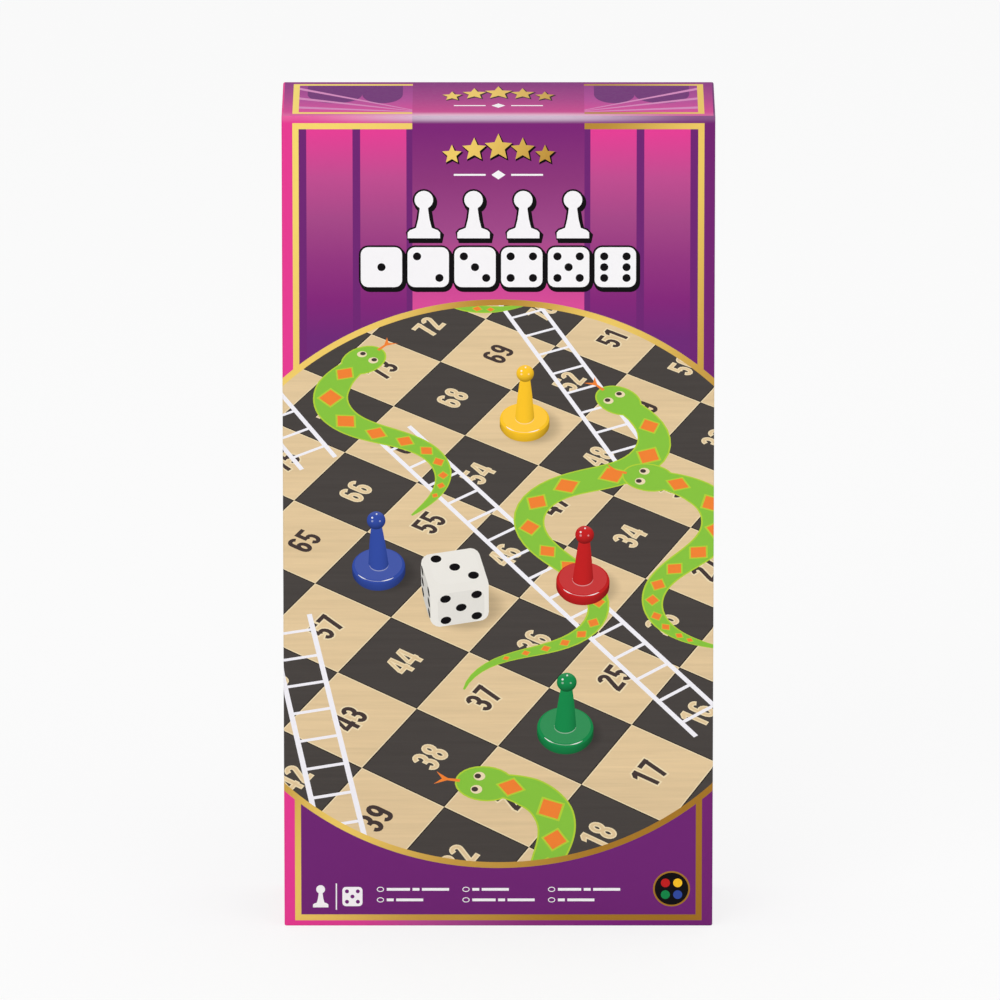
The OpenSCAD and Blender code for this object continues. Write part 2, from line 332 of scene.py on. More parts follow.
def area(loop):
    return sum(x0 * y1 - x1 * y0 for (x0, y0), (x1, y1) in zip(loop, loop[1:] + loop[:1])) / 2


def sides(path, widths, closed=False):
    """The two edges of a band of the given half-widths along a path."""
    left, right = [], []
    count = len(path)
    for i, (x, y) in enumerate(path):
        before = path[(i - 1) % count] if closed or i else path[i]
        after = path[(i + 1) % count] if closed or i + 1 < count else path[i]
        dx, dy = after[0] - before[0], after[1] - before[1]
        size = math.hypot(dx, dy) or 1
        w = widths[i] if isinstance(widths, list) else widths
        left.append((x - dy / size * w, y + dx / size * w))
        right.append((x + dy / size * w, y - dx / size * w))
    return left, right


def band(path, widths):
    left, right = sides(path, widths)
    return left + right[::-1]


def grown(loop, by):
    """The loop, moved outwards by a margin."""
    if area(loop) < 0:
        loop = loop[::-1]
    return sides(loop, by, closed=True)[1]


# Bold numbers, drawn as strokes in a box one unit high

STROKE = 0.17
HALF_W = 0.15
HALF_H = 0.5 - STROKE / 2


def digit_strokes(digit):
    """(open strokes, closed strokes, filled shapes) of one digit."""
    w, h = HALF_W, HALF_H
    out = STROKE / 2
    if digit == "0":
        return [], [arc(0, h - w, w, w, 0, 180, 8) + arc(0, w - h, w, w, 180, 360, 8)], []
    if digit == "1":
        flag = [(0.05, 0.5), (-0.05, 0.5), (-0.19, 0.36), (-0.19, 0.19), (0.05, 0.32)]
        return [[(0.05, -0.5), (0.05, 0.5)]], [], [flag]
    if digit == "2":
        bowl = arc(0, h - w, w, w, 176, -20, 10)
        return [bowl + [(-w * 0.8, -h * 0.72), (-w, -0.49)], [(-w - out, -h), (w + out, -h)]], [], []
    if digit == "3":
        upper = arc(0, h / 2, w, h / 2, 165, -90, 12)
        lower = arc(0, -h / 2, w, h / 2, 90, -165, 12)
        return [upper, lower, [(-0.08, 0), (0.02, 0)]], [], []
    if digit == "4":
        left = -w - out * 1.1
        slope = [(left, out - 0.19), (-0.02, 0.5), (0.13, 0.5), (-0.1, out - 0.19)]
        return [[(0.13, -0.5), (0.13, 0.5)], [(left, -0.19), (w + out * 1.25, -0.19)]], [], [slope]
    if digit == "5":
        bowl = arc(0, -h + 0.23, w, 0.23, 140, -160, 12)
        return [[(-w - out * 0.8, h), (w + out * 0.8, h)], [(-w, 0.49), (-w, -0.03)], bowl], [], []
    if digit == "6":
        ring = oval(0, -h + 0.23, w, 0.23, 16)
        return [arc(0, h - w, w, w, 15, 180, 8) + [(-w, -h + 0.23)]], [ring], []
    if digit == "7":
        return [[(-w - out, h), (w + out, h)], [(w, h), (-w * 0.3, -0.5)]], [], []
    if digit == "8":
        return [], [oval(0, h / 2 + 0.01, w * 0.94, h / 2 - 0.01, 16), oval(0, -h / 2, w, h / 2, 16)], []
    # A 9 is a 6 turned round
    opened, closed, filled = digit_strokes("6")
    return [turned(s, 180) for s in opened], [turned(s, 180) for s in closed], filled


def number_shapes(text, x, y, height, halo=0.0):
    """(loops, holes) of a number centred on a point. halo widens its strokes."""
    half = (STROKE / 2 + halo) * height
    step = (2 * HALF_W + STROKE + 0.08) * height
    loops, holes = [], []
    for i, digit in enumerate(text):
        shift = x + (i - (len(text) - 1) / 2) * step
        opened, closed, filled = digit_strokes(digit)
        for stroke in opened:
            path = moved(stroke, shift, y, height)
            if halo:
                path = lengthened(path, halo * height)
            loops.append(band(path, half))
        for stroke in closed:
            left, right = sides(moved(stroke, shift, y, height), half, closed=True)
            outer, inner = sorted((left, right), key=lambda loop: -abs(area(loop)))
            loops.append(outer)
            holes.append(inner)
        loops += [grown(moved(shape, shift, y, height), halo * height) for shape in filled]
    return loops, holes


def lengthened(path, by):
    """The path, with both ends drawn out."""
    def beyond(end, inner):
        size = math.dist(end, inner)
        return (end[0] + (end[0] - inner[0]) / size * by, end[1] + (end[1] - inner[1]) / size * by)
    return [beyond(path[0], path[1])] + path[1:-1] + [beyond(path[-1], path[-2])]


# Prints: shapes laid over one another, of which only what shows is kept

class Sheet:
    """A flat print in millimetres. Later shapes cover earlier ones."""

    def __init__(self, outline):
        self.points = []
        self.loops = []
        self.owners = []
        self.shapes = []
        self.creases = []
        self.outline = self.lay(None, [outline])

    def lay(self, name, loops, holes=(), within=0, facing=None, through=None):
        """Lays a shape of one ink: its loops less its holes, each point put in its place by through.
        Returns it, for others to stay within."""
        shape = len(self.shapes)
        self.shapes.append((name, within, facing))
        for loop, hole in [(loop, False) for loop in loops] + [(hole, True) for hole in holes]:
            if through:
                loop = [through(*point) for point in loop]
            # Too small to see, in square millimetres
            if abs(area(loop)) < 1e-4:
                continue
            if area(loop) < 0:
                loop = loop[::-1]
            start = len(self.points)
            self.points.extend(Vector(p) for p in loop)
            self.loops.append(list(range(start, start + len(loop))))
            self.owners.append((shape, hole))
        return shape

    def block(self, name, *corners):
        return self.lay(name, [rectangle(*corners)])

    def disc(self, name, *measures):
        return self.lay(name, [oval(*measures)])

    def crease(self, start, end):
        """A line that the faces are cut along, so that the print can bend there."""
        self.points.extend((Vector(start), Vector(end)))
        self.creases.append((len(self.points) - 2, len(self.points) - 1))

    def top(self, loops):
        """The uppermost shape among the loops that hold a face."""
        blocked = {self.owners[i][0] for i in loops if self.owners[i][1]}
        inside = {self.owners[i][0] for i in loops} - blocked
        if 0 not in inside:
            return None
        shown = [s for s in inside if self.shapes[s][0] and self.shapes[s][1] in inside]
        return max(shown) if shown else None

    def faces(self):
        """(points, [(face, shape)]) of what shows."""
        within_loops, merge_distance = 1, 1e-6
        points, _, faces, _, _, holders = delaunay_2d_cdt(
            self.points, self.creases, self.loops, within_loops, merge_distance, True)
        kept = [(face, self.top(loops)) for face, loops in zip(faces, holders)]
        return points, [(face, shape) for face, shape in kept if shape is not None]


class Prints:
    """The inks of one body. Each ink becomes one piece, gathered from all of the body's sheets."""

    def __init__(self, prefix):
        self.prefix = prefix
        self.inks = {}

    def batch(self, name):
        return self.inks.setdefault(name, {"points": [], "faces": [], "facings": []})

    def add_sheet(self, sheet, place):
        """Adds what shows of a sheet, whose points place puts in space."""
        points, faces = sheet.faces()
        index = {}
        for face, shape in faces:
            name, _, facing = sheet.shapes[shape]
            batch = self.batch(name)
            corners = []
            for i in face:
                if (name, i) not in index:
                    index[name, i] = len(batch["points"])
                    batch["points"].append(place(*points[i]))
                corners.append(index[name, i])
                batch["facings"].append(facing(*points[i]) if facing else (0.0, 0.0))
            batch["faces"].append(corners)

    def add_faces(self, name, points, faces):
        batch = self.batch(name)
        start = len(batch["points"])
        batch["points"].extend(points)
        batch["faces"].extend([i + start for i in face] for face in faces)
        batch["facings"].extend((0.0, 0.0) for face in faces for _ in face)

    def pieces(self, finishes, body):
        """Makes one object of each ink, in the frame's metres, riding on the body."""
        made = {}
        for name, batch in self.inks.items():
            piece = mesh_piece(f"{self.prefix}_{name}", batch["points"], batch["faces"],
                               finishes[name].material)
            layer = piece.data.uv_layers.new(name="facing")
            layer.data.foreach_set("uv", [c for uv in batch["facings"] for c in uv])
            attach(piece, body)
            made[name] = piece
        return made


def placed(name, data):
    """A new object in the scene."""
    made = bpy.data.objects.new(name, data)
    bpy.context.scene.collection.objects.link(made)
    return made


def mesh_piece(name, points, faces, material):
    """An object from points in millimetres and faces."""
    mesh = bpy.data.meshes.new(name)
    mesh.from_pydata([tuple(c * MM for c in p) for p in points], [], faces)
    mesh.update()
    mesh.materials.append(material)
    return placed(name, mesh)


def millimetres(node):
    """A CAD node's lowest and highest corner."""
    low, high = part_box(node)
    return low / MM, high / MM


LID_LOW, LID_HIGH = millimetres("lid_wrap")
# The lid's walls, board and paper together, and the steps in which its paper bends over an edge
LID_WALL = 1.9
FOLD_STEPS = 4


# The playing board, as drawn on its leaves and in the lid's picture

COUNT = 10
# Half the width of a snake's body where it is thickest
BODY_HALF = 4.7
# Each snake: the square of its head, the square of its tail, its bends, and how far they swing out
SNAKES = [(49, 37, 1.75, 58), (73, 55, 1.0, -55), (33, 15, 1.0, 60), (23, 2, 1.0, 50), (97, 76, 1.5, 50),
          (91, 70, 1.0, 50), (81, 60, 1.5, 45)]
# Each ladder: the square of its foot, the square of its top, and how far it stands off their numbers
LADDERS = [(16, 67, 0), (48, 71, 9), (39, 57, -9), (8, 30, 8), (62, 82, 8), (75, 94, 8), (3, 21, -8)]


def square_side():
    return bpy.context.scene.game_board.square / MM


def centre_of(number):
    """The middle of a numbered square. The rows run left and right in turn, from the bottom."""
    row, along = divmod(number - 1, COUNT)
    column = along if row % 2 == 0 else COUNT - 1 - along
    return (column + 0.5) * square_side(), (row + 0.5) * square_side()


def slither(head, tail, waves, swing, steps=60):
    """A snake's middle line and half-widths, from head to tail. Its heading swings to and fro by
    swing degrees, which gives round bends, and the line is then fitted between head and tail."""
    x, y = 0.0, 0.0
    line = [(x, y)]
    for i in range(steps):
        t = (i + 0.5) / steps
        heading = math.radians(swing) * math.cos(2 * math.pi * waves * t)
        x += math.cos(heading)
        y += math.sin(heading)
        line.append((x, y))
    scale = math.dist(head, tail) / math.hypot(x, y)
    lean = math.degrees(math.atan2(tail[1] - head[1], tail[0] - head[0]) - math.atan2(y, x))
    path = moved(turned([(px * scale, py * scale) for px, py in line], lean), *head)
    along = [i / steps for i in range(steps + 1)]
    # Thinner at the neck, and drawn out to a thin tail over the last two thirds
    widths = [BODY_HALF * min(1, 0.66 + 2.2 * t) * min(1, 0.05 + 1.25 * (1 - t) ** 0.8) for t in along]
    return path, widths


def draw_snake(sheet, to_sheet, within, start, end, waves, swing):
    """A green snake with orange lozenges down its back, its head at the higher square."""
    head, tail, side = centre_of(start), centre_of(end), square_side()
    # The head and its tongue need this much room below the board's upper edge
    head_room = 14
    head_y = min(head[1] + side * 0.3, COUNT * side - head_room)
    path, widths = slither((head[0], head_y), (tail[0], tail[1] + side * 0.24), waves, swing)

    def lay(name, *loops):
        sheet.lay(name, loops, within=within, through=to_sheet)

    def heading_between(after, before):
        return math.degrees(math.atan2(after[1] - before[1], after[0] - before[0]))

    heading = heading_between(path[0], path[3])

    def at_head(loop):
        return moved(turned(loop, heading), *path[0])

    # The pale rim's width, and the distance between lozenges as a share of the body's half-width
    rim, apart = 0.45, 2.5
    head = at_head(oval(0.8, 0, 7.2, 5.6, 28))
    lay("edge", band(path, [w + rim * min(1, w / 2) for w in widths]), grown(head, rim))
    lay("green", band(path, widths), head)
    since_last = apart * max(widths)
    for i in range(5, len(path) - 6):
        since_last += math.dist(path[i], path[i - 1])
        w = widths[i]
        if since_last < max(3.0, apart * w):
            continue
        since_last = 0.0
        lozenge = turned([(w * 0.82, 0), (0, w * 0.72), (-w * 0.82, 0), (0, -w * 0.72)],
                         heading_between(path[i + 1], path[i - 1]))
        for name, scale in (("edge", 1.22), ("orange", 1.0)):
            lay(name, moved(lozenge, *path[i], scale))
    tongue = [(7.2, -0.5), (10.4, -0.4), (13.6, -2.2), (11.8, 0), (13.6, 2.2), (10.4, 0.4), (7.2, 0.5)]
    lay("orange", at_head(tongue))
    # Eyes
    for y in (-2.3, 2.3):
        lay("cream", at_head(oval(2.6, y, 1.5, 1.5, 14)))
        lay("digit_dark", at_head(oval(3.0, y, 0.85, 0.85, 12)))


def draw_ladder(sheet, to_sheet, within, start, end, aside):
    """White rails and rungs from one square up to another."""
    foot, top = centre_of(start), centre_of(end)
    reach = math.dist(foot, top)
    across = ((top[1] - foot[1]) / reach * aside, (foot[0] - top[0]) / reach * aside)
    foot, top = (foot[0] + across[0], foot[1] + across[1]), (top[0] + across[0], top[1] + across[1])
    heading = math.degrees(math.atan2(top[1] - foot[1], top[0] - foot[0]))
    # Half the ladder's width, half a rail, half a rung, and how far the rails stand out at both ends
    half, rail, rung, over = 5.4, 0.68, 0.5, 6
    # Rungs about this far apart
    steps = max(1, round(reach / 9.5))
    loops = [rectangle(-over, y - rail, reach + over, y + rail) for y in (-half, half)]
    loops += [rectangle(reach / steps * i - rung, -half, reach / steps * i + rung, half)
              for i in range(steps + 1)]
    loops = [moved(turned(split_long(loop), heading), *foot) for loop in loops]
    sheet.lay("ladder", loops, within=within, through=to_sheet)


def split_long(loop, most=12):
    """The loop, with its long sides cut up so that they follow the view."""
    made = []
    for (x0, y0), (x1, y1) in zip(loop, loop[1:] + loop[:1]):
        parts = max(1, math.ceil(math.dist((x0, y0), (x1, y1)) / most))
        made += [(x0 + (x1 - x0) * i / parts, y0 + (y1 - y0) * i / parts) for i in range(parts)]
    return made


def draw_board(sheet, to_sheet, within, shown=lambda x, y: True):
    """The squares, numbers, ladders and snakes."""
    settings = bpy.context.scene.game_board
    half = square_side() / 2
    field = half - settings.rim / MM
    last = COUNT * COUNT

    def lay(name, loops, holes=()):
        sheet.lay(name, loops, holes, within, through=to_sheet)

    for number in range(1, last + 1):
        x, y = centre_of(number)
        if not shown(x, y):
            continue
        dark = number % 2 == 0
        lay("outline" if dark else "cream", [rectangle(x - half, y - half, x + half, y + half)])
        lay("charcoal" if dark else "beige", [rectangle(x - field, y - field, x + field, y + field)])
        # Cream numbers with a beige core on dark squares, and dark ones with a cream halo on light ones
        under, over, core = (0.013, -0.035, "beige") if dark else (0.06, 0.0, "digit_dark")
        # The last number has three figures, which are drawn smaller to fit
        height = settings.digit * square_side() * (0.85 if number == last else 1)
        lay("cream", *number_shapes(str(number), x, y, height, under))
        lay(core, *number_shapes(str(number), x, y, height, over))
    for ladder in LADDERS:
        draw_ladder(sheet, to_sheet, within, *ladder)
    for snake in SNAKES:
        draw_snake(sheet, to_sheet, within, *snake)


# The lid's picture: the board in perspective, with pawns and a die on it

class View:
    """Where a point of the board, in its own millimetres, lands on the lid's print."""

    def __init__(self, middle, centre):
        settings = bpy.context.scene.game_picture
        self.middle = middle
        self.centre = centre
        self.distance = settings.distance / MM
        self.scale = settings.scale
        self.rise, self.fall = math.sin(settings.elevation), math.cos(settings.elevation)
        self.cos, self.sin = math.cos(settings.turn), math.sin(settings.turn)

    def __call__(self, x, y, z=0.0):
        dx, dy = x - self.middle[0], y - self.middle[1]
        across = dx * self.cos - dy * self.sin
        away = dx * self.sin + dy * self.cos
        depth = self.distance + away * self.fall - z * self.rise
        up = away * self.rise + z * self.fall
        shrink = self.scale * self.distance / depth
        return self.centre[0] + across * shrink, self.centre[1] + up * shrink

    def size_at(self, x, y, z=0.0):
        """Printed millimetres to one millimetre of a thing that stands there."""
        ax, _ = self(x, y, z)
        bx, _ = self(x + self.cos, y - self.sin, z)
        return bx - ax


def hull(points):
    return [points[i] for i in convex_hull_2d([Vector(p) for p in points])]


# Radius and height up a pawn's stem, in millimetres
PAWN_STEM = [(2.75, 4.0), (2.6, 6.0), (2.15, 12.0), (1.75, 16.0), (1.4, 19.2)]
FOOT_R, FOOT_H, HEAD_R, HEAD_Z = 7.25, 4.0, 2.5, 21.0
# A facing beyond any real slope marks a glint
BRIGHT, FAINT = (0.0, 2.0), (0.0, 1.55)


def draw_pawn(sheet, view, within, name, x, y):
    """A pawn that stands on the board. Each part's facing gives the shader its slope."""
    def ring(r, z, start=0, end=360, steps=40):
        return [view(px, py, z) for px, py in arc(x, y, r, r, start, end, steps)]

    def lay(loop, facing):
        """The facing is a slope, or a function that gives one at each point."""
        sheet.lay(name, [loop], within=within, facing=facing if callable(facing) else lambda px, py: facing)

    def limited(value, low, high):
        return max(low, min(high, value))

    def across(px, half_width):
        return limited((px - middle) / half_width, -1.0, 1.0)

    middle, low = view(x, y, 0)
    wide = FOOT_R * view.size_at(x, y)
    drop = wide * view.rise

    def side_facing(px, py):
        """Down the side of the foot the slope dips, so that it darkens towards the board."""
        u = across(px, wide)
        edge = low - drop * math.sqrt(1 - u * u)
        return u * 0.85, -0.75 + 0.4 * limited((py - edge) / (FOOT_H * view.fall), 0.0, 1.0)

    lay(hull(ring(FOOT_R - 0.5, 0) + ring(FOOT_R, 0.9) + ring(FOOT_R, FOOT_H - 1)), side_facing)
    lay(ring(FOOT_R - 0.1, FOOT_H - 0.6), lambda px, py: (across(px, wide) * 0.7, 0.15))
    lay(ring(FOOT_R - 0.75, FOOT_H), (0.0, view.fall))
    # One thin glint runs round the front of the foot's lip, brighter near both of its ends
    toward = math.degrees(math.atan2(-view.cos, -view.sin))
    for turn, spread, wide_at_middle, facing in ((-8, 46, 0.07, FAINT), (-40, 13, 0.13, BRIGHT),
                                                 (24, 15, 0.13, BRIGHT)):
        path = ring(FOOT_R - 0.5, FOOT_H - 0.25, toward + turn - spread, toward + turn + spread, 12)
        lay(band(path, [0.04 + wide_at_middle * math.sin(math.pi * i / 12) for i in range(13)]), facing)

    left, right = [], []
    for r, z in PAWN_STEM:
        px, py = view(x, y, z)
        half = r * view.size_at(x, y, z)
        left.append((px - half, py))
        right.append((px + half, py))
    base_half, base_y = right[0][0] - middle, right[0][1]
    base = arc(middle, base_y, base_half, base_half * view.rise, 180, 360, 14)[1:-1]
    ends = [(middle + base_half, base_y), (middle - base_half, base_y)]
    lay([(px, py - 0.3) for px, py in base] + ends, FAINT)
    lay(base + right + left[::-1], lambda px, py: (across(px, base_half) * 0.9, -0.12))

    hx, hy = view(x, y, HEAD_Z)
    radius = HEAD_R * view.size_at(x, y, HEAD_Z)
    lay(oval(hx, hy, radius, radius, 36), lambda px, py: ((px - hx) / radius, (py - hy) / radius))
    for u, v, r, facing in ((-0.42, 0.3, 0.11, BRIGHT), (-0.42, -0.08, 0.12, FAINT),
                            (0.4, -0.08, 0.1, FAINT), (0.05, 0.72, 0.09, BRIGHT)):
        lay(oval(hx + u * radius, hy + v * radius, r * radius, r * radius, 12), facing)


def draw_die(sheet, view, within, x, y):
    """A die that lies on the board, with its upper face and two sides showing."""
    size, edge, pitch, pip = 16.0, 2.6, 4.2, 1.45
    half = size / 2
    inner = half - edge

    def at(u, v, w):
        """A point of the die, from its middle."""
        return view(*moved(turned([(u, v)], DIE_TURN), x, y)[0], half + w)

    ball = edge * view.size_at(x, y, half)
    corners = [at(u * inner, v * inner, w * inner) for u in (-1, 1) for v in (-1, 1) for w in (-1, 1)]
    silhouette = hull([p for px, py in corners for p in oval(px, py, ball, ball, 16)])
    sheet.lay("print_die", [silhouette], within=within, facing=lambda px, py: (0.1, 0.05))
    # Each face that shows: where its points lie, its slope and its number
    faces = [(lambda a, b: at(a, b, half), (0.0, 0.62), 3), (lambda a, b: at(-half, a, b), (-0.8, -0.5), 6),
             (lambda a, b: at(a, -half, b), (0.15, -0.3), 5)]
    flat = inner + 0.9
    for on, slope, number in faces:
        sheet.lay("print_die", [rounded(-flat, -flat, flat, flat, 3.4)], within=within,
                  facing=lambda px, py, slope=slope: slope, through=on)
        for a, b in PIPS[number]:
            sheet.lay("black", [oval(a * pitch, b * pitch, pip, pip, 18)], within=within, through=on)


# What the picture shows standing on the board: name, square
STANDING = [("print_blue", 56), ("print_red", 35), ("print_green", 24), ("print_yellow", 53)]
DIE_SQUARE, DIE_TURN = 45, -45


def picture_view():
    """The view that the lid's picture has of the board."""
    lid, side = bpy.context.scene.game_lid, square_side()
    # The point of the board at the oval's centre, counted in squares
    across, up = 5.05, 4.3
    return View((side * across, side * up), (0, lid.oval_rise / MM))


def draw_picture(sheet, within):
    view = picture_view()
    draw_board(sheet, view, within)
    things = [(centre_of(square), name) for name, square in STANDING] + [(centre_of(DIE_SQUARE), None)]
    for (x, y), name in sorted(things, key=lambda thing: -view(*thing[0])[1]):
        if name:
            draw_pawn(sheet, view, within, name, x, y)
        else:
            draw_die(sheet, view, within, x, y)


# Ornaments of the lid, in millimetres from the middle of its lower end

def pawn_figure(x, y, height):
    """A plain pawn standing at a point: its outline, seen from the front."""
    foot, neck, head = 0.33, 0.085, 0.19
    right = [(foot, 0), (foot, 0.12), (foot * 0.86, 0.17), (0.16, 0.22), (neck + 0.03, 0.4), (neck, 0.62)]
    top = arc(0, 1 - head, head, head, -62, 242, 18)
    left = [(-px, py) for px, py in right[::-1]]
    return moved(right + top + left, x, y, height)


PIPS = {1: [(0, 0)], 2: [(-1, 1), (1, -1)], 3: [(-1, 1), (0, 0), (1, -1)],
        4: [(-1, 1), (1, 1), (-1, -1), (1, -1)],
        5: [(-1, 1), (1, 1), (0, 0), (-1, -1), (1, -1)],
        6: [(-1, 1), (1, 1), (-1, 0), (1, 0), (-1, -1), (1, -1)]}


def die_figure(x, y, side, face):
    """(outline, pips) of a flat die face."""
    half = side / 2
    outline = rounded(x - half, y - half, x + half, y + half, side * 0.18)
    pips = [oval(x + u * side * 0.27, y + v * side * 0.27, side * 0.1, side * 0.1, 16) for u, v in PIPS[face]]
    return outline, pips


def draw_title(sheet):
    """Two rows of ornaments in the middle panel: pawns over the six faces of a die."""
    pawn_foot, pawn_height, pawn_pitch = 226.4, 15.4, 15.6
    die_middle, die_side, die_pitch = 217.0, 13.0, 14.7
    pawns = [pawn_figure((i - 1.5) * pawn_pitch, pawn_foot, pawn_height) for i in range(4)]
    faces = [die_figure((face - 3.5) * die_pitch, die_middle, die_side, face) for face in range(1, 7)]
    outlines = pawns + [outline for outline, _ in faces]
    pips = [pip for _, pips in faces for pip in pips]
    # A black shadow down to the right, and a black rim
    sheet.lay("black", [moved(grown(loop, 0.75), 0.55, -0.85) for loop in outlines])
    sheet.lay("black", [grown(loop, 0.6) for loop in outlines])
    sheet.lay("white", outlines, pips)
    sheet.lay("black", pips)


def draw_crest(sheet, y, deep=1.0):
    """An arch of gold stars over a line with a lozenge, drawn deeper where it is seen at a slant."""
    stars = [star(sx, sy, r, r * 0.46) for sx, sy, r in ((-14.6, 0.0, 3.2), (-7.6, 1.6, 3.9), (0, 2.3, 4.5),
                                                         (7.6, 1.6, 3.9), (14.6, 0.0, 3.2))]
    lozenge = [(2.2, 0), (0, 1.5), (-2.2, 0), (0, -1.5)]
    bars = [rectangle(-14, -0.3, -4, 0.3), rectangle(4, -0.3, 14, 0.3), lozenge]
    for name, loops in (("black", [moved(grown(loop, 0.35), 0.3, -0.4) for loop in stars]), ("gold", stars),
                        ("white", [moved(loop, 0, -6.6) for loop in bars])):
        sheet.lay(name, loops, through=lambda px, py: (px, py * deep + y))


def draw_foot_of_front(sheet):
    """Small figures in the lower left corner and a plain disc in the lower right."""
    sheet.lay("white", [pawn_figure(-56.5, 6.2, 7.4), rectangle(-51.7, 5.4, -51.3, 14.2)])
    outline, pips = die_figure(-46.4, 9.8, 6.4, 5)
    sheet.lay("white", [outline], pips)
    # Rings with bars beside them, in place of words
    for row in (0, 1):
        for column in (0, 1, 2):
            at, level = -37.5 + 27.2 * column, 12.2 - 3.5 * row
            sheet.lay("white", [oval(at, level, 1.15, 0.85, 16)], [oval(at, level, 0.9, 0.6, 16)])
            at += 2.0
            for bar in (7.4, 2.2, 8.6)[(row + column) % 2:]:
                sheet.block("white", at, level - 0.45, at + bar, level + 0.45)
                at += bar + 0.8
    # A black disc in a gold ring, with a dot in each of the pawns' colours
    x, y, ring, disc, dot, off = 55.0, 12.4, 5.9, 5.35, 1.45, 1.95
    sheet.disc("gold", x, y, ring, ring, 40)
    sheet.disc("black", x, y, disc, disc, 40)
    for name, u, v in (("red", -1, 1), ("yellow", 1, 1), ("green", -1, -1), ("blue", 1, -1)):
        sheet.disc(f"dot_{name}", x + off * u, y + off * v, dot, dot, 20)


def draw_panels(sheet, low, high):
    """The side panels and strips, from low to high, and the gold line above them."""
    lid = bpy.context.scene.game_lid
    inner = LID_HIGH.x - (lid.frame_inset + lid.frame_line) / MM
    middle, line = lid.centre_panel / MM / 2, lid.frame_line / MM
    strip, panel = lid.strip / MM, lid.panel / MM
    for sign in (-1, 1):
        sheet.block("deep", sign * middle, low, sign * inner, high)
        for start in (inner - strip, inner - 2 * strip - panel):
            sheet.block("panel", sign * start, low, sign * (start - panel), high)
        sheet.block("gold", sign * middle, high, sign * (inner + line), high + line)


def front_sheet(fold, arc_length):
    """The lid's front, whose four margins bend over the edges."""
    lid = bpy.context.scene.game_lid
    half, top = LID_HIGH.x - fold, LID_HIGH.z - fold
    wide, high, low = half + arc_length, top + arc_length, fold - arc_length
    sheet = Sheet([(-half, low), (half, low), (half, fold), (wide, fold), (wide, top), (half, top),
                   (half, high), (-half, high), (-half, top), (-wide, top), (-wide, fold), (-half, fold)])
    for i in range(FOLD_STEPS + 1):
        bend = arc_length * i / FOLD_STEPS
        for sign in (-1, 1):
            sheet.crease((sign * (half + bend), fold), (sign * (half + bend), top))
        sheet.crease((-half, top + bend), (half, top + bend))
        sheet.crease((-half, fold - bend), (half, fold - bend))
    line, rise = lid.frame_line / MM, lid.oval_rise / MM
    outer, middle = LID_HIGH.x - lid.frame_inset / MM, lid.centre_panel / MM / 2
    # The gold frame's lower and upper edge
    foot, head = 1.9, LID_HIGH.z - lid.frame_top / MM
    sheet.block("ground", -wide, low, wide, high)
    sheet.block("deep", -outer + line, foot + line, outer - line, head - line)
    draw_panels(sheet, rise, head - line)
    sheet.block("centre", -middle, rise, middle, high)
    for sign in (-1, 1):
        sheet.block("gold", sign * outer, foot, sign * (outer - line), head)
    sheet.block("gold", -outer, foot, outer, foot + line)
    rx, ry = lid.oval_width / MM / 2, lid.oval_height / MM / 2
    sheet.disc("gold", 0, rise, rx, ry, 240)
    draw_picture(sheet, sheet.disc("beige", 0, rise, rx - line, ry - line, 240))
    draw_title(sheet)
    draw_crest(sheet, 253.6)
    draw_foot_of_front(sheet)
    return sheet


def top_sheet(fold, rim):
    """The lid's upper end, seen from above: brackets of gold round two shaded fields."""
    lid = bpy.context.scene.game_lid
    half = LID_HIGH.x - fold
    front, back = LID_LOW.y + fold, LID_HIGH.y - rim
    sheet = Sheet(rectangle(-half, front, half, back))
    sheet.block("ground_end", -half, front, half, back)
    middle, line = lid.centre_panel / MM / 2, lid.frame_line / MM
    margin, hang = 2.4, 11
    outer, near, far = LID_HIGH.x - lid.frame_inset / MM, front + margin, back - margin
    for sign in (-1, 1):
        sheet.block("gold", sign * middle, near, sign * outer, far)
        field = sheet.block("field", sign * middle, near + line, sign * (outer - line), far - line)
        # Two deep shapes that hang from the back edge
        for x, r in ((36.5, 6.4), (51.5, 8.6)):
            arch = arc(sign * x, far - line - hang, r, hang, 180, 360, 20)
            arch += [(sign * x + r, far), (sign * x - r, far)]
            sheet.lay("deep", [arch], within=field)
        # Pale beams that widen from one corner
        for start, end in ((0.06, 0.18), (0.09, 0.5), (0.12, 0.84)):
            y0, y1 = near + (far - near) * start, near + (far - near) * end
            beam = [(middle, y0), (outer, y1), (outer, y1 + 2.8), (middle, y0 + 0.7)]
            sheet.lay("streak", [beam], within=field, through=lambda px, py: (sign * px, py))
    sheet.block("centre_end", -middle, front, middle, back)
    draw_crest(sheet, 2.6, deep=1.8)
    return sheet


def side_sheet(near, far, low, high):
    """A long side: a gold frame round strips and a panel that run its length."""
    lid = bpy.context.scene.game_lid
    line, strip = lid.frame_line / MM, lid.strip / MM
    sheet = plain_sheet(near, low, far, high)
    # The gold frame's margins along the length and at both ends
    along, ends = 2.6, 2.4
    x0, x1, z0, z1 = near + along, far - along, low + ends, high - ends
    sheet.block("gold", x0, z0, x1, z1)
    sheet.block("deep", x0 + line, z0 + line, x1 - line, z1 - line)
    wide = (x1 - x0 - 2 * line - 3 * strip) / 2
    for start in (x0 + line + strip, x0 + line + 2 * strip + wide):
        sheet.block("panel", start, z0 + line, start + wide, z1 - line)
    # A column of the six faces of a die, up the middle
    middle, pitch, side = 133, 19, 12.5
    for face in range(1, 7):
        outline, pips = die_figure((near + far) / 2, middle + (face - 3.5) * pitch, side, face)
        sheet.lay("black", [moved(grown(outline, 0.6), 0.45, -0.7), grown(outline, 0.5)])
        sheet.lay("white", [outline], pips)
        sheet.lay("black", pips)
    return sheet


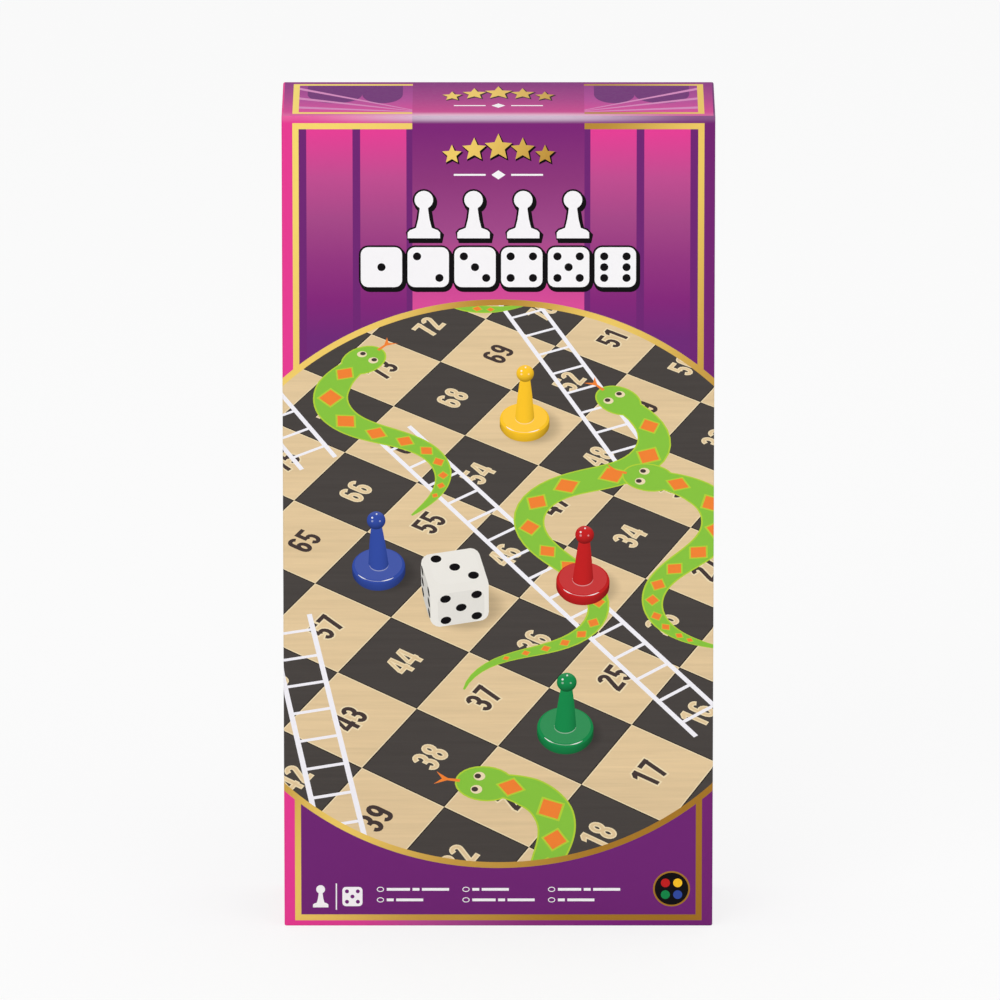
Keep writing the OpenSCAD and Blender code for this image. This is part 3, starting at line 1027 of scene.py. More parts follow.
def plain_sheet(x0, y0, x1, y1, name="ground"):
    """A sheet that one ink covers."""
    sheet = Sheet(rectangle(x0, y0, x1, y1))
    sheet.block(name, x0, y0, x1, y1)
    return sheet


def lid_ring(inset, y, radius, steps):
    """A rounded rectangle round the lid at one depth, as corner runs."""
    x, z0, z1 = LID_HIGH.x - inset - radius, LID_LOW.z + inset + radius, LID_HIGH.z - inset - radius
    corners = [(x, z1, 0), (-x, z1, 90), (-x, z0, 180), (x, z0, 270)]
    return [(px, y, pz) for cx, cz, start in corners
            for px, pz in arc(cx, cz, radius, radius, start, start + 90, steps)]


def lid_corners_and_rim(prints, fold, rim, steps=4):
    """The parts of the lid's paper that no flat sheet covers: its corners, its rim and the turn-in."""
    paper, turned_in_to = 0.2, 5.0
    # Each ring's distance inside the lid's outline, its depth, its corners' radius, and whether only
    # its corners are joined to the ring before it
    loops = []
    for i in range(FOLD_STEPS + 1):
        t = math.radians(90 * i / FOLD_STEPS)
        loops.append((fold * (1 - math.sin(t)), LID_LOW.y + fold * (1 - math.cos(t)),
                      max(0.02, fold * math.sin(t)), True))
    loops.append((0, LID_HIGH.y - rim, fold, True))
    for i in range(1, 9):
        t = math.pi * i / 8
        inset = LID_WALL / 2 * (1 - math.cos(t))
        loops.append((inset, LID_HIGH.y - rim + rim * math.sin(t), max(paper, fold - inset), False))
    loops += [(inset, turned_in_to, paper, False) for inset in (LID_WALL, LID_WALL - paper)]
    rings = [lid_ring(inset, y, radius, steps) for inset, y, radius, _ in loops]
    count = len(rings[0])
    faces = []
    for n in range(1, len(rings)):
        for i in range(count):
            if loops[n][3] and i % (steps + 1) == steps:
                continue
            j = (i + 1) % count
            a, b = (n - 1) * count, n * count
            faces.append([a + j, a + i, b + i, b + j])
    prints.add_faces("ground", [p for ring in rings for p in ring], faces)


def pale_fold(finish, tint):
    """The tint with a painted highlight: paler beside the lid's upper front fold, most of all in its middle.
    """
    x, y, z = finish.place()
    below = finish.smooth(z, LID_HIGH.z - 2.6, LID_HIGH.z - 0.5)
    behind = finish.smooth(y, LID_LOW.y + 0.6, LID_LOW.y + 6.0, 1.0, 0.0)
    amount = below * behind * finish.smooth(x.math("ABSOLUTE"), 16, 64, 0.62, 0.1)
    # Painted highlight: the tint mixed toward pale lavender along the upper front fold
    return finish.mix(amount, tint, ink("F4E3F1"))


def lid_finishes():
    """The lid's inks."""
    lid, plastics = bpy.context.scene.game_lid, bpy.context.scene.game_plastics
    magenta, purple, light = tuple(lid.magenta), tuple(lid.purple), tuple(lid.gold_light)
    wide, deep = LID_HIGH.x - LID_LOW.x, LID_HIGH.y - LID_LOW.y
    made = print_finishes(True)

    # Inks whose colours run along an axis: ink, name, base colour, axis, start, span, with a painted
    # highlight at the upper front fold or not, and the run of colours
    runs = [("ground", "lid_ground", magenta, 0, LID_LOW.x, wide, True,
             [(0.0, "EA3C93"), (0.17, "E14397"), (0.3, "C14D94"), (0.42, "A5468A"), (0.56, "91357E"),
              (0.75, "81277E"), (1.0, purple)]),
            ("ground_end", "lid_end_ground", magenta, 1, LID_LOW.y, deep, True,
             [(0.0, "DE4596"), (0.5, "B23C8B"), (1.0, "8A2E80")]),
            ("panel", "lid_panel", magenta, 2, 194, 67, False,
             [(0.0, "712A78"), (0.18, "85277B"), (0.38, "953781"), (0.58, "A84989"), (0.78, "C34E92"),
              (1.0, "E84097")]),
            ("centre", "lid_centre_panel", purple, 2, 202, 60, True,
             [(0.0, "E0509C"), (0.12, "D34B97"), (0.42, "A44B8B"), (0.72, "8F387C"), (1.0, "7E2778")]),
            ("centre_end", "lid_end_centre", purple, 1, LID_LOW.y, 43, True,
             [(0.0, "D64892"), (0.5, "A93B88"), (1.0, "84297B")]),
            ("field", "lid_end_field", magenta, 1, LID_LOW.y, 43, False,
             [(0.0, "E84A9B"), (0.45, "B9489A"), (1.0, "8B3486")])]
    for key, name, base, axis, start, span, pale, stops in runs:
        made[key] = finish = laminated(name, base)
        tint = finish.ramp((finish.place()[axis] - start) / span, stops)
        # Runs marked pale get a painted highlight along the upper front fold
        finish.set("Base Color", pale_fold(finish, tint) if pale else tint)

    made["gold"] = gold = laminated("lid_gold", light)
    x, _, z = gold.place()
    slant = (x - LID_LOW.x) / wide * 0.5 + (1 - z / LID_HIGH.z) * 0.5
    glints = [(0.0, light), (0.22, "F3CE6A"), (0.36, "B98B38"), (0.5, "F0CB66"), (0.68, "C79A45"),
              (0.84, "A9792B"), (1.0, tuple(lid.gold_dark))]
    gold.set("Base Color", gold.ramp(slant, glints, "EASE"))

    made["deep"] = laminated("lid_deep_purple", tuple(lid.deep_purple))
    for key, name, tint in (("streak", "lid_end_streak", ink("D98CC0")),
                            ("white", "lid_white", tuple(lid.white)),
                            ("black", "lid_black", tuple(lid.black))):
        made[key] = laminated(name, tint, False)
    for name in PAWN_NAMES:
        tint = tuple(getattr(plastics, name))
        made[f"print_{name}"] = pictured(f"lid_pawn_{name}", tint)
        made[f"dot_{name}"] = laminated(f"lid_dot_{name}", tint, False)
    made["print_die"] = pictured("lid_die", tuple(plastics.ivory), 0.6)
    return made


def print_finishes(pictured_on_lid):
    """The inks of the squares, snakes and ladders, for the lid's picture or for the board itself."""
    prefix = "lid" if pictured_on_lid else "board"
    made = {}
    for name in ("beige", "charcoal", "cream", "digit_dark", "outline", "green", "edge", "orange", "ladder"):
        tint = tuple(getattr(bpy.context.scene.game_board, name))
        large = name in ("beige", "charcoal")
        made[name] = laminated(f"{prefix}_{name}", tint, large)
        if large:
            grain_square(made[name], name, tint, pictured_on_lid)
    return made


def grain_square(finish, name, tint, pictured_on_lid):
    """A square's ink. The light squares show a wood-like grain that runs across the print."""
    grain = finish.noise(1, 4, 0.65, (30, 30, 900))
    tone = (grain - 0.5) * 0.3 + 1.0
    if name == "beige":
        broad = finish.noise(1, finer=(8, 8, 160))
        tone = (grain - 0.5) * 0.26 + (broad - 0.5) * 0.16 + 1.0
    shaded = finish.toned(tint, tone)
    finish.set("Base Color", finish.toned(shaded, soft_shadows(finish)) if pictured_on_lid else shaded)


def soft_shadows(finish):
    """1 on the open board of the picture, less beside what stands on it."""
    view = picture_view()
    x, _, z = finish.place()
    light = 1.0
    for square, reach in [(square, 10.5) for _, square in STANDING] + [(DIE_SQUARE, 14.0)]:
        px, pz = view(*centre_of(square))
        u = (x - (px + reach * 0.24)) / reach
        v = (z - (pz + reach * 0.02)) / (reach * 0.66)
        light = finish.smooth(u * u + v * v, 0.25, 1.0, 0.66, 1.0) * light
    return light


def pictured(name, base, darkest=0.4):
    """A printed picture of a glossy thing: shaded by the slope stored in the facing map."""
    finish = laminated(name, base, False)
    u, v, _ = finish.parts(finish.node("ShaderNodeUVMap", {"uv_map": "facing"}))
    depth = (1 - u * u - v * v).math("MAXIMUM", 0.0) ** 0.5
    lit = u * -0.18 + v * 0.55 + depth * 0.72
    shaded = finish.toned(base, finish.smooth(lit, -0.4, 0.85, darkest, 1.06))
    pale = finish.smooth(v, 0.45, 0.75, 0.0, 0.03)
    glint = finish.smooth(v, 1.2, 2.2, 0.0, 0.85)
    finish.set("Base Color", finish.mix(pale + glint, shaded, (1, 1, 1)))
    return finish


def fold_out(fold):
    """Puts a point of the front sheet in space: past the fold line it bends back over the edge."""
    half, top = LID_HIGH.x - fold, LID_HIGH.z - fold

    def place(x, z):
        t = max(abs(x) - half, z - top, fold - z, 0.0) / fold
        if z - top > abs(x) - half:
            z = min(z, top) + fold * math.sin(t)
        elif fold - z > abs(x) - half:
            z = max(z, fold) - fold * math.sin(t)
        else:
            x = math.copysign(min(abs(x), half) + fold * math.sin(t), x)
        return x, LID_LOW.y + fold * (1 - math.cos(t)), z
    return place


class GAME_OT_lid_paper(bpy.types.Operator):
    """The printed paper of the lid, folded over its edges and turned in at its rim"""
    bl_idname = "game.lid_paper"
    bl_label = "Lid paper"

    def execute(self, context):
        fold = context.scene.game_lid.fold_radius / MM
        rim = LID_WALL / 2
        half, top = LID_HIGH.x - fold, LID_HIGH.z - fold
        near, far = LID_LOW.y + fold, LID_HIGH.y - rim
        prints = Prints("lid")
        prints.add_sheet(front_sheet(fold, fold * math.pi / 2), fold_out(fold))
        prints.add_sheet(top_sheet(fold, rim), lambda x, y: (x, y, LID_HIGH.z))
        prints.add_sheet(side_sheet(-far, -near, fold, top), lambda a, z: (-LID_HIGH.x, -a, z))
        prints.add_sheet(side_sheet(near, far, fold, top), lambda a, z: (LID_HIGH.x, a, z))
        prints.add_sheet(plain_sheet(-half, near, half, far), lambda a, y: (-a, y, LID_LOW.z))
        lid_corners_and_rim(prints, fold, rim)
        made = prints.pieces(lid_finishes(), "lid")
        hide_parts("lid_wrap")
        return {"FINISHED"}


# Papers and boards whose CAD shapes are right, and get finishes of their own

def refinish(finish, *nodes):
    for node in nodes:
        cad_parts[node].material_slots[0].material = finish.material


def fibrous(name, base, roughness, vary, scale, finer=(1, 1, 1), depth=0.1):
    """Paper or card: its colour wanders with its fibres, which also roughen it."""
    finish = Finish(name, base, roughness, specular_ior_level=0.25)
    fibres = finish.noise(scale, 4, 0.65, finer)
    finish.set("Base Color", finish.toned(base, (fibres - 0.5) * vary + 1.0))
    finish.set("Roughness", fibres * 0.2 + (roughness - 0.1))
    finish.bump(fibres, 0.25, depth)
    return finish


def greyboard():
    """Recycled board: mottled grey-brown with dark and pale flecks."""
    finish = Finish("greyboard", ink("A39A8A"), 0.92, specular_ior_level=0.2)
    fibres = finish.noise(620, 5, 0.7)
    flecks = finish.noise(2400)
    tone = finish.ramp(fibres, [(0.3, "8A8172"), (0.5, "A39A8A"), (0.72, "B5AC9B")])
    for low, high, amount, fleck in ((0.66, 0.76, 0.6, "5F574C"), (0.34, 0.26, 0.5, "D3CBBB")):
        tone = finish.mix(finish.smooth(flecks, low, high) * amount, tone, ink(fleck))
    finish.set("Base Color", tone)
    finish.bump(fibres, 0.3, 0.12)
    return finish


def woven(name, base, pitch, vary, roughness, depth):
    """Threads over and under one another, at a pitch in millimetres."""
    finish = Finish(name, base, roughness, specular_ior_level=0.2)
    x, y, z = finish.place()
    step = 2 * math.pi / pitch
    cloth = ((x + y) * step).math("SINE") * (z * step).math("SINE")
    finish.set("Base Color", finish.toned(base, cloth * vary + 1.0))
    finish.bump(cloth, 0.4, depth)
    return finish


class GAME_OT_trays(bpy.types.Operator):
    """The greyboard trays, their corner stays, the base's paper and the card insert"""
    bl_idname = "game.trays"
    bl_label = "Trays and insert"

    def execute(self, context):
        refinish(greyboard(), "lid_board", "base_board", "rear_leaf_core", "front_leaf_core")
        kraft = fibrous("stay_tape", ink("B99B6E"), 0.72, 0.35, 260, (1, 6, 1), 0.05)
        refinish(kraft, "lid_corner_stays", "base_corner_stays")
        refinish(fibrous("base_paper", ink("552058"), 0.45, 0.16, 900, depth=0.04), "base_wrap")
        refinish(fibrous("insert_card", ink("E9E5DB"), 0.6, 0.07, 500, depth=0.06), "insert")
        return {"FINISHED"}


# The folding board

def leaf_face(prefix, node, body, facing_back, finishes):
    """The printed squares of one leaf, in the plane of its face paper, with the paper's cut edges."""
    side = square_side()
    low, high = millimetres(node)
    across, up = (high.x - low.x) / (COUNT / 2 * side), (high.z - low.z) / (COUNT * side)
    sign = -1 if facing_back else 1
    plane, under = (high.y, low.y) if facing_back else (low.y, high.y)
    middle = COUNT * side / 2

    def to_sheet(x, y):
        if facing_back:
            return -low.x - (middle - x) * across, low.z + y * up
        return low.x + (x - middle) * across, low.z + y * up

    rim = rectangle(sign * low.x, low.z, sign * high.x, high.z)
    sheet = Sheet(rim)
    sheet.lay("beige", [rim])
    draw_board(sheet, to_sheet, 0, lambda x, y: (x < middle + side) if facing_back else (x > middle - side))
    prints = Prints(prefix)
    prints.add_sheet(sheet, lambda a, z: (sign * a, plane, z))
    points = [(sign * a, y, z) for y in (plane, under) for a, z in rim]
    prints.add_faces("paper", points, [[(i + 1) % 4, i, i + 4, (i + 1) % 4 + 4] for i in range(4)])
    made = prints.pieces(finishes, body)
    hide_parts(node)


def extruded(section, low, high):
    """(points, faces) of an outline in the x-y plane, counterclockwise, drawn up between two heights."""
    count = len(section)
    points = [(x, y, z) for z in (low, high) for x, y in section]
    faces = [[i, (i + 1) % count, (i + 1) % count + count, i + count] for i in range(count)]
    faces.append(list(range(count))[::-1])
    faces.append(list(range(count, 2 * count)))
    return points, faces


def doubled_over(x_fold, x_end, y_near, y_far, thick):
    """The outline of a thin sheet folded at x_fold, from its front leg round to its back leg."""
    outer, middle = (y_far - y_near) / 2, (y_far + y_near) / 2
    bend = arc(x_fold + outer, middle, outer, outer, 90, 270, 12)
    inside = arc(x_fold + outer, middle, outer - thick, outer - thick, 270, 90, 12)
    return [(x_end, y_far), *bend, (x_end, y_near), (x_end, y_near + thick), *inside, (x_end, y_far - thick)]


class GAME_OT_folding_board(bpy.types.Operator):
    """The two printed leaves, their backing and the woven hinge"""
    bl_idname = "game.folding_board"
    bl_label = "Folding board"

    def execute(self, context):
        finishes = print_finishes(False)
        finishes["paper"] = Finish("board_paper_edge", ink("F2EFE8"), 0.8)
        leaf_face("rear_leaf_print", "rear_leaf_face", "rear_leaf", False, finishes)
        leaf_face("front_leaf_print", "front_leaf_face", "front_leaf", True, finishes)
        backing = woven("board_backing", ink("4A1C4E"), 0.9, 0.08, 0.5, 0.04)
        refinish(backing, "rear_leaf_back", "front_leaf_back")

        low, high = millimetres("board_hinge_tape")
        section = doubled_over(low.x, high.x, low.y, high.y, 0.12)
        cloth = woven("hinge_cloth", ink("3D1740"), 0.6, 0.25, 0.8, 0.08)
        hinge = mesh_piece("hinge_strip", *extruded(section, low.z, high.z), cloth.material)
        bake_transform(hinge)
        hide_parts("board_hinge_tape")
        return {"FINISHED"}


# The rules leaflet

def leaflet_sheet(x0, x1, z0, z1):
    """The leaflet's front: plain figures that show the pieces, a ladder and a snake."""
    sheet = plain_sheet(x0, z0, x1, z1, "paper")
    # A band of the six faces of a die along the top
    sheet.block("purple", x0 + 6, z1 - 22, x1 - 6, z1 - 8)
    for face in range(1, 7):
        outline, pips = die_figure(x0 + 20 + (face - 1) * 15.2, z1 - 15, 8.6, face)
        sheet.lay("paper", [outline], pips)
    # A small board with a ladder and a snake, and four pawns beside it
    top, square = z1 - 32, 11
    for row in range(4):
        for column in range(4):
            x, z = x0 + 8 + column * square, top - square - row * square
            sheet.lay("grey" if (row + column) % 2 else "pale", [rectangle(x, z, x + square, z + square)])
    foot, head, half = (x0 + 14, top - 39), (x0 + 36, top - 6), 2.2
    for dx in (-half, half):
        sheet.lay("ink", [band([(foot[0] + dx, foot[1]), (head[0] + dx, head[1])], 0.5)])
    for i in range(1, 8):
        x, z = foot[0] + (head[0] - foot[0]) * i / 8, foot[1] + (head[1] - foot[1]) * i / 8
        sheet.lay("ink", [band([(x - half, z), (x + half, z)], 0.4)])
    path, widths = slither((x0 + 47, top - 7), (x0 + 18, top - 40), 1.5, 5, 40)
    sheet.lay("purple", [band(path, [w * 0.36 for w in widths]), oval(x0 + 47, top - 6, 2.6, 2.2, 20)])
    for i in range(4):
        sheet.lay("ink", [pawn_figure(x0 + 66 + i * 12, top - 28, 15)])
    # Three blocks of plain lines, each with a dot
    for block in range(3):
        start = top - 56 - block * 24
        sheet.disc("purple", x0 + 11, start + 1, 2.6, 2.6, 20)
        for line in range(5):
            end, z = x1 - (26 if line == 4 else 8), start - line * 3.8
            sheet.block("rule", x0 + 18, z, end, z + 1.1)
    return sheet


class GAME_OT_leaflet(bpy.types.Operator):
    """The folded leaflet of rules, with figures and no words"""
    bl_idname = "game.leaflet"
    bl_label = "Leaflet"

    def execute(self, context):
        low, high = millimetres("rules_leaflet")
        bend = (high.y - low.y) / 2
        prints = Prints("leaflet")
        prints.add_sheet(leaflet_sheet(low.x + bend, high.x, low.z, high.z), lambda x, z: (x, low.y, z))
        section = doubled_over(low.x, high.x, low.y, high.y, 0.15)
        points, faces = extruded(section, low.z, high.z)

        def printed(face):
            """The printed sheet stands in for the folded paper's front."""
            return len(face) == 4 and all(abs(points[i][1] - low.y) < 1e-4 for i in face)

        prints.add_faces("paper", points, [face for face in faces if not printed(face)])
        finishes = {name: Finish(f"leaflet_{name}", ink(code), 0.7)
                    for name, code in (("purple", "6F2A73"), ("grey", "9A9694"), ("pale", "DAD6CF"),
                                       ("rule", "B9B5B1"), ("ink", "2B2829"))}
        finishes["paper"] = fibrous("leaflet_paper", ink("F3F1EC"), 0.75, 0.06, 800)
        made = prints.pieces(finishes, "leaflet")
        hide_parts("rules_leaflet")
        return {"FINISHED"}


# Pawns, turned from a profile by a Geometry Nodes tree

def pawn_profile():
    """A pawn's outline from the middle of its foot's hollow to the top of its head: radius and height."""
    height, foot_r, foot_h, edge = 23.5, 7.25, 4.0, 1.2
    head_r, neck_r, stem_r, fillet = 2.5, 1.4, 2.7, 0.8
    neck_z = height - head_r
    # The hollow under the foot, and the foot's lower edge
    line = [(0, 1.2), (4.0, 1.2), (4.3, 1.05), (4.75, 0.15), (4.95, 0.0), (6.9, 0.0), (7.15, 0.08),
            (foot_r, 0.35)]
    line += arc(foot_r - edge, foot_h - edge, edge, edge, 0, 90, 8)
    line += arc(stem_r + fillet, foot_h + fillet, fillet, fillet, 270, 180, 7)
    meets = math.degrees(math.acos(neck_r / head_r))
    line += [(stem_r + (neck_r - stem_r) * t, foot_h + fillet + (neck_z - foot_h - fillet) * t)
             for t in (0.2, 0.4, 0.6, 0.78)]
    line += arc(0, neck_z, head_r, head_r, -meets, 90, 18)
    return line


class PieceTree:
    """A Geometry Nodes tree that makes a piece of one material."""

    def __init__(self, name, **sockets):
        self.tree = bpy.data.node_groups.new(name, "GeometryNodeTree")
        for socket, kind in {**sockets, "Material": "Material"}.items():
            self.tree.interface.new_socket(socket, in_out="INPUT", socket_type=f"NodeSocket{kind}")
        self.tree.interface.new_socket("Piece", in_out="OUTPUT", socket_type="NodeSocketGeometry")
        self.given = self.add("NodeGroupInput")

    def add(self, kind, settings=None, inputs=None):
        """Adds a node and returns its outputs."""
        node = self.tree.nodes.new(kind)
        for key, value in (settings or {}).items():
            setattr(node, key, value)
        for key, value in (inputs or {}).items():
            if isinstance(value, bpy.types.NodeSocket):
                self.tree.links.new(value, node.inputs[key])
            else:
                node.inputs[key].default_value = value
        return node.outputs

    def finished(self, geometry):
        """Ends the tree: one plain mesh with its material."""
        material = self.given["Material"]
        made = self.add("GeometryNodeRealizeInstances", None, {"Geometry": geometry})[0]
        made = self.add("GeometryNodeSetMaterial", None, {"Geometry": made, "Material": material})[0]
        self.add("NodeGroupOutput", None, {"Piece": made})
        return self.tree


def turned_tree():
    """Geometry Nodes that turn the object's own edge line about the upright axis."""
    made = PieceTree("Turned piece", Profile="Geometry", Segments="Int", Rings="Int")
    add, given = made.add, made.given
    curve = add("GeometryNodeMeshToCurve", None, {"Mesh": given["Profile"]})[0]
    grid = add("GeometryNodeMeshGrid", None, {"Size X": 1.0, "Size Y": 1.0, "Vertices X": given["Segments"],
                                              "Vertices Y": given["Rings"]})[0]
    x, y, _ = add("ShaderNodeSeparateXYZ", None, {0: add("GeometryNodeInputPosition")[0]})
    along = add("ShaderNodeMath", {"operation": "ADD", "use_clamp": True}, {0: y, 1: 0.5})[0]
    turn = add("ShaderNodeMath", {"operation": "MULTIPLY"}, {0: x, 1: -2 * math.pi})[0]
    sample = add("GeometryNodeSampleCurve", {"mode": "FACTOR", "use_all_curves": False},
                 {"Curves": curve, "Factor": along})["Position"]
    spun = add("ShaderNodeVectorRotate", {"rotation_type": "Z_AXIS"}, {"Vector": sample, "Angle": turn})[0]
    shell = add("GeometryNodeSetPosition", None, {"Geometry": grid, "Position": spun})[0]
    shell = add("GeometryNodeMergeByDistance", None, {"Geometry": shell, "Distance": 0.01 * MM})[0]
    return made.finished(add("GeometryNodeSetShadeSmooth", None, {"Geometry": shell})[0])


def settled(thing):
    """The plain mesh that an object's modifiers make of it. The object itself goes."""
    bpy.context.view_layer.update()
    mesh = bpy.data.meshes.new_from_object(thing.evaluated_get(bpy.context.evaluated_depsgraph_get()))
    bpy.data.objects.remove(thing)
    return mesh


def run_tree(name, mesh, tree, **inputs):
    """A plain mesh object made by a Geometry Nodes tree from a mesh."""
    seed = placed(f"{name}_seed", mesh)
    modifier = seed.modifiers.new("tree", "NODES")
    modifier.node_group = tree
    for item in tree.interface.items_tree:
        if item.in_out == "INPUT" and item.name in inputs:
            modifier[item.identifier] = inputs[item.name]
    result = settled(seed)
    result.name = name
    return placed(name, result)


def moulded(name, base, roughness, vary, scale):
    """(finish, clouds) of glossy moulded plastic, whose flow marks cloud its colour and its gloss."""
    finish = Finish(name, base, roughness, specular_ior_level=0.5, coat_weight=0.3, coat_roughness=0.08)
    cloud = finish.noise(scale)
    finish.set("Base Color", finish.toned(base, (cloud - 0.5) * vary + 1.0))
    finish.set("Roughness", cloud * 0.14 + (roughness - 0.06))
    return finish, cloud


class GAME_OT_pawns(bpy.types.Operator):
    """The four moulded pawns"""
    bl_idname = "game.pawns"
    bl_label = "Pawns"

    def execute(self, context):
        tree = turned_tree()
        profile = pawn_profile()
        for name in PAWN_NAMES:
            node = f"pawn_{name}"
            low, high = millimetres(node)
            middle = (low + high) / 2
            base = tuple(getattr(context.scene.game_plastics, name))
            finish, cloud = moulded(f"{name}_plastic", base, 0.16, 0.1, 160)
            # A fine mould line stands up round the pawn's middle
            off = (finish.place()[0] - middle.x).math("ABSOLUTE")
            finish.bump(finish.smooth(off, 0.0, 0.12, 1.0, 0.0) + cloud * 0.4, 0.35, 0.05)
            mesh = bpy.data.meshes.new(f"{node}_profile")
            mesh.from_pydata([(r * MM, 0, z * MM) for r, z in profile],
                             [(i, i + 1) for i in range(len(profile) - 1)], [])
            piece = run_tree(f"turned_{node}", mesh, tree, Segments=65, Rings=120, Material=finish.material)
            piece.data.transform(move_to(middle.x, middle.y, low.z))
            closed_shell(piece)
            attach(piece, node)
            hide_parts(node)
        return {"FINISHED"}


def move_to(x, y, z):
    return Matrix.Translation((x * MM, y * MM, z * MM))


def closed_shell(piece):
    """Merges doubles and turns the faces outwards."""
    shell = bmesh.new()
    shell.from_mesh(piece.data)
    bmesh.ops.remove_doubles(shell, verts=shell.verts, dist=0.005 * MM)
    bmesh.ops.recalc_face_normals(shell, faces=shell.faces)
    shell.to_mesh(piece.data)
    shell.free()


# The die

def ball_tree():
    """Geometry Nodes that put a ball on each point of the object."""
    made = PieceTree("Balls at points", Points="Geometry", Radius="Float")
    ball = made.add("GeometryNodeMeshUVSphere", None,
                    {"Segments": 40, "Rings": 40, "Radius": made.given["Radius"]})[0]
    return made.finished(made.add("GeometryNodeInstanceOnPoints", None,
                                  {"Points": made.given["Points"], "Instance": ball})[0])


def faces_of(mesh, material):
    """A copy of the mesh with only the faces of one of its materials, shaded smooth."""
    kept = mesh.copy()
    index = [m.name for m in kept.materials].index(material.name)
    shell = bmesh.new()
    shell.from_mesh(kept)
    others = [face for face in shell.faces if face.material_index != index]
    bmesh.ops.delete(shell, geom=others, context="FACES")
    for face in shell.faces:
        face.material_index = 0
    shell.to_mesh(kept)
    shell.free()
    kept.materials.clear()
    kept.materials.append(material)
    kept.shade_smooth()
    return kept


class GAME_OT_die(bpy.types.Operator):
    """The rounded die with painted hollows"""
    bl_idname = "game.die"
    bl_label = "Die"

    def execute(self, context):
        plastics = context.scene.game_plastics
        low, high = millimetres("die_body")
        middle, half = (low + high) / 2, (high.z - low.z) / 2
        body, cloud = moulded("die_plastic", tuple(plastics.ivory), 0.18, 0.06, 240)
        body.bump(cloud, 0.2, 0.04)
        paint = Finish("pip_paint", tuple(plastics.pips), 0.38)
        speck = paint.noise(1800)
        paint.set("Roughness", speck * 0.3 + 0.25)
        paint.bump(speck, 0.3, 0.03)

        rounding, steps = 2.3, 8
        cube = bmesh.new()
        bmesh.ops.create_cube(cube, size=2 * half * MM)
        bmesh.ops.bevel(cube, geom=list(cube.edges), offset=rounding * MM, segments=steps, profile=0.5,
                        affect="EDGES", clamp_overlap=True)
        mesh = bpy.data.meshes.new("rounded_cube")
        cube.to_mesh(mesh)
        cube.free()
        mesh.materials.append(body.material)
        solid = placed("rounded_cube", mesh)

        # The pips' pitch, the radius of the balls that hollow them and their depth in the face
        pitch, ball, deep = 4.2, 1.852, 0.7
        out = half + ball - deep
        # Each face's number, its outward axis and its two axes across
        sides_of_die = [(3, (0, 0, 1), (1, 0, 0), (0, 1, 0)), (4, (0, 0, -1), (1, 0, 0), (0, -1, 0)),
                        (5, (0, -1, 0), (1, 0, 0), (0, 0, 1)), (2, (0, 1, 0), (1, 0, 0), (0, 0, -1)),
                        (6, (-1, 0, 0), (0, 0, 1), (0, 1, 0)), (1, (1, 0, 0), (0, 0, -1), (0, 1, 0))]
        spots = [Vector(normal) * out + Vector(across) * u * pitch + Vector(up) * v * pitch
                 for number, normal, across, up in sides_of_die for u, v in PIPS[number]]
        points = bpy.data.meshes.new("pip_points")
        points.from_pydata([spot * MM for spot in spots], [], [])
        balls = run_tree("pip_balls", points, ball_tree(), Radius=ball * MM, Material=paint.material)

        cut = solid.modifiers.new("pips", "BOOLEAN")
        cut.operation, cut.solver, cut.object = "DIFFERENCE", "EXACT", balls
        cut.material_mode = "TRANSFER"
        carved = settled(solid)
        carved.transform(move_to(middle.x, middle.y, middle.z))
        bpy.data.objects.remove(balls)
        for name, finish, node, slot in (("rounded_die", body, "die_body", "die_plastic"),
                                         ("painted_pips", paint, "die_pips", "pip_paint")):
            piece = placed(name, faces_of(carved, finish.material))
            weigh = piece.modifiers.new("weighted", "WEIGHTED_NORMAL")
            weigh.mode, weigh.weight = "FACE_AREA", 100
            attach(piece, "die")
            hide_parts(node)
        return {"FINISHED"}


# Stage

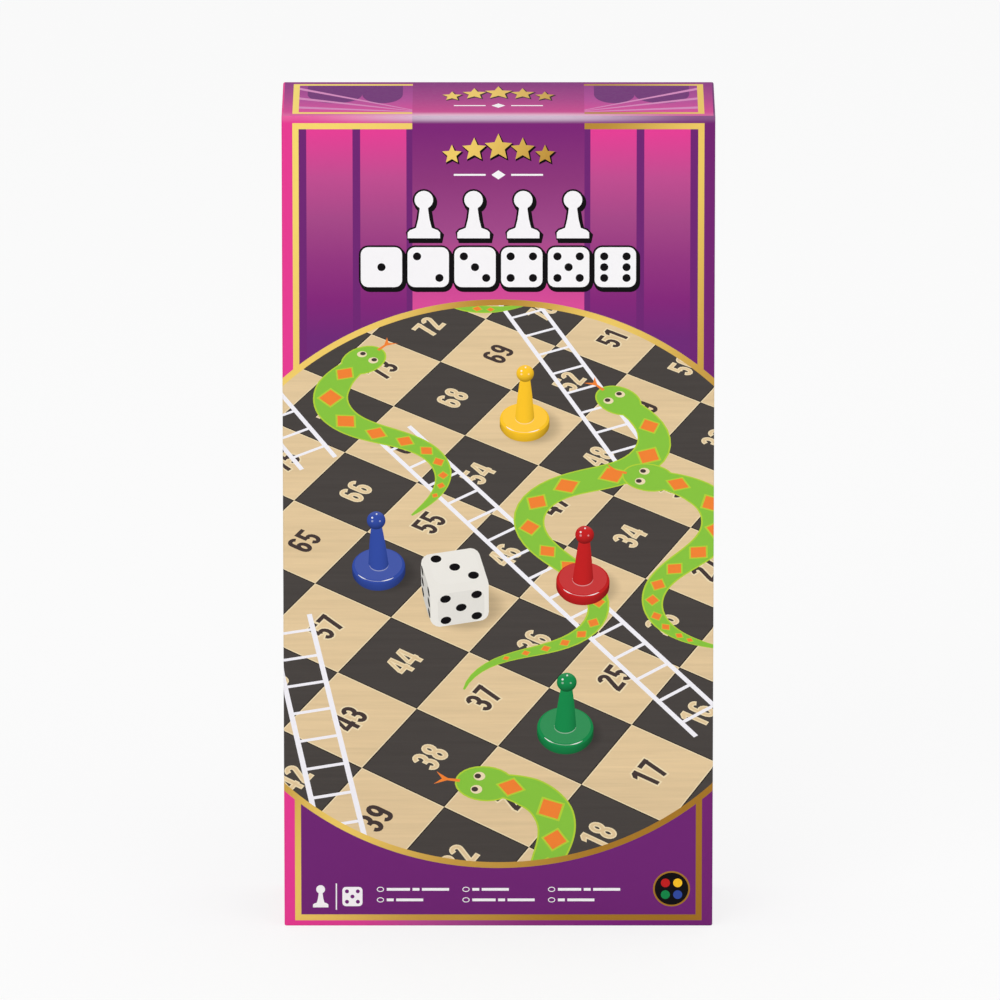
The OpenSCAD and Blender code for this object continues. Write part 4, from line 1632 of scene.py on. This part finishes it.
class GAME_OT_stage(bpy.types.Operator):
    """The pale floor, the soft lamps and the camera"""
    bl_idname = "game.stage"
    bl_label = "Stage"

    def execute(self, context):
        scene, studio = context.scene, context.scene.game_studio
        scene.camera = camera = placed("camera", bpy.data.cameras.new("camera"))
        # A long lens that frames the box from far off as the photograph does
        camera.data.sensor_width = 36
        camera.data.lens = 570.5
        camera.data.clip_end = 50
        # The point of the box's front that the camera looks at
        aim = Vector([c * MM for c in (0.5, LID_LOW.y, 140.9)])
        tilt = studio.elevation
        camera.location = aim + studio.distance * Vector((0, -math.cos(tilt), math.sin(tilt)))
        camera.rotation_euler = (math.pi / 2 - tilt, 0, 0)

        pale = Finish("floor", tuple(studio.floor), 0.9, specular_ior_level=0.1)
        paths = pale.node("ShaderNodeLightPath")
        seen = sum((Value(pale, paths.socket.node.outputs[f"Is {kind} Ray"])
                    for kind in ("Camera", "Glossy", "Transmission")), 0.0)
        white = pale.node("ShaderNodeEmission", None, {"Strength": 1.0})
        lit = Value(pale, pale.shader.outputs[0])
        shown = pale.node("ShaderNodeMixShader", None, {0: seen * studio.floor_glow, 1: lit, 2: white})
        pale.put(pale.output.inputs["Surface"], shown)
        reach = 9000
        corners = [(x, y, 0) for x, y in rectangle(-reach, -reach, reach, reach)]
        mesh_piece("floor", corners, [[0, 1, 2, 3]], pale.material)

        scene.world = world = bpy.data.worlds.new("sky")
        world.use_nodes = True
        sky = world.node_tree.nodes["Background"].inputs
        sky[0].default_value = (1, 1, 1, 1)
        sky[1].default_value = studio.sky
        scene.view_settings.view_transform = "Standard"

        # Each lamp's place, size and power. All of them face the middle of the box
        for name, place, size, power in (("key", (-1.1, -1.9, 1.35), 1.5, 13),
                                         ("fill", (1.5, -1.5, 0.8), 1.6, 6.5),
                                         ("top", (0.1, 0.2, 2.2), 1.8, 11.4)):
            light = bpy.data.lights.new(name, "AREA")
            light.size = size
            light.energy = power
            lamp = placed(name, light)
            lamp.location = place
            lamp.rotation_euler = (Vector((0, 0, 0.13)) - Vector(place)).to_track_quat("-Z", "Y").to_euler()
        return {"FINISHED"}


OPERATORS = [GAME_OT_stage, GAME_OT_lid_paper, GAME_OT_trays, GAME_OT_folding_board, GAME_OT_leaflet,
             GAME_OT_pawns, GAME_OT_die]


class GAME_PT_panel(bpy.types.Panel):
    """Lists the pieces that the set is dressed with"""
    bl_idname = "GAME_PT_panel"
    bl_label = "Game box"
    bl_space_type = "VIEW_3D"
    bl_region_type = "UI"
    bl_category = "Game Box"

    def draw(self, context):
        for operator in OPERATORS:
            self.layout.operator(operator.bl_idname)
        for name in GROUPS:
            settings = getattr(context.scene, name)
            for prop in settings.bl_rna.properties:
                if prop.identifier not in ("rna_type", "name"):
                    self.layout.prop(settings, prop.identifier)


def register():
    for cls in [*GROUPS.values(), *OPERATORS, GAME_PT_panel]:
        bpy.utils.register_class(cls)
    for name, group in GROUPS.items():
        setattr(bpy.types.Scene, name, bpy.props.PointerProperty(type=group))


def unregister():
    for name in GROUPS:
        delattr(bpy.types.Scene, name)
    for cls in reversed([*GROUPS.values(), *OPERATORS, GAME_PT_panel]):
        bpy.utils.unregister_class(cls)


def main():
    register()
    bpy.ops.game.stage()
    bpy.ops.game.lid_paper()
    bpy.ops.game.trays()
    bpy.ops.game.folding_board()
    bpy.ops.game.leaflet()
    bpy.ops.game.pawns()
    bpy.ops.game.die()


if __name__ == "__main__":
    main()
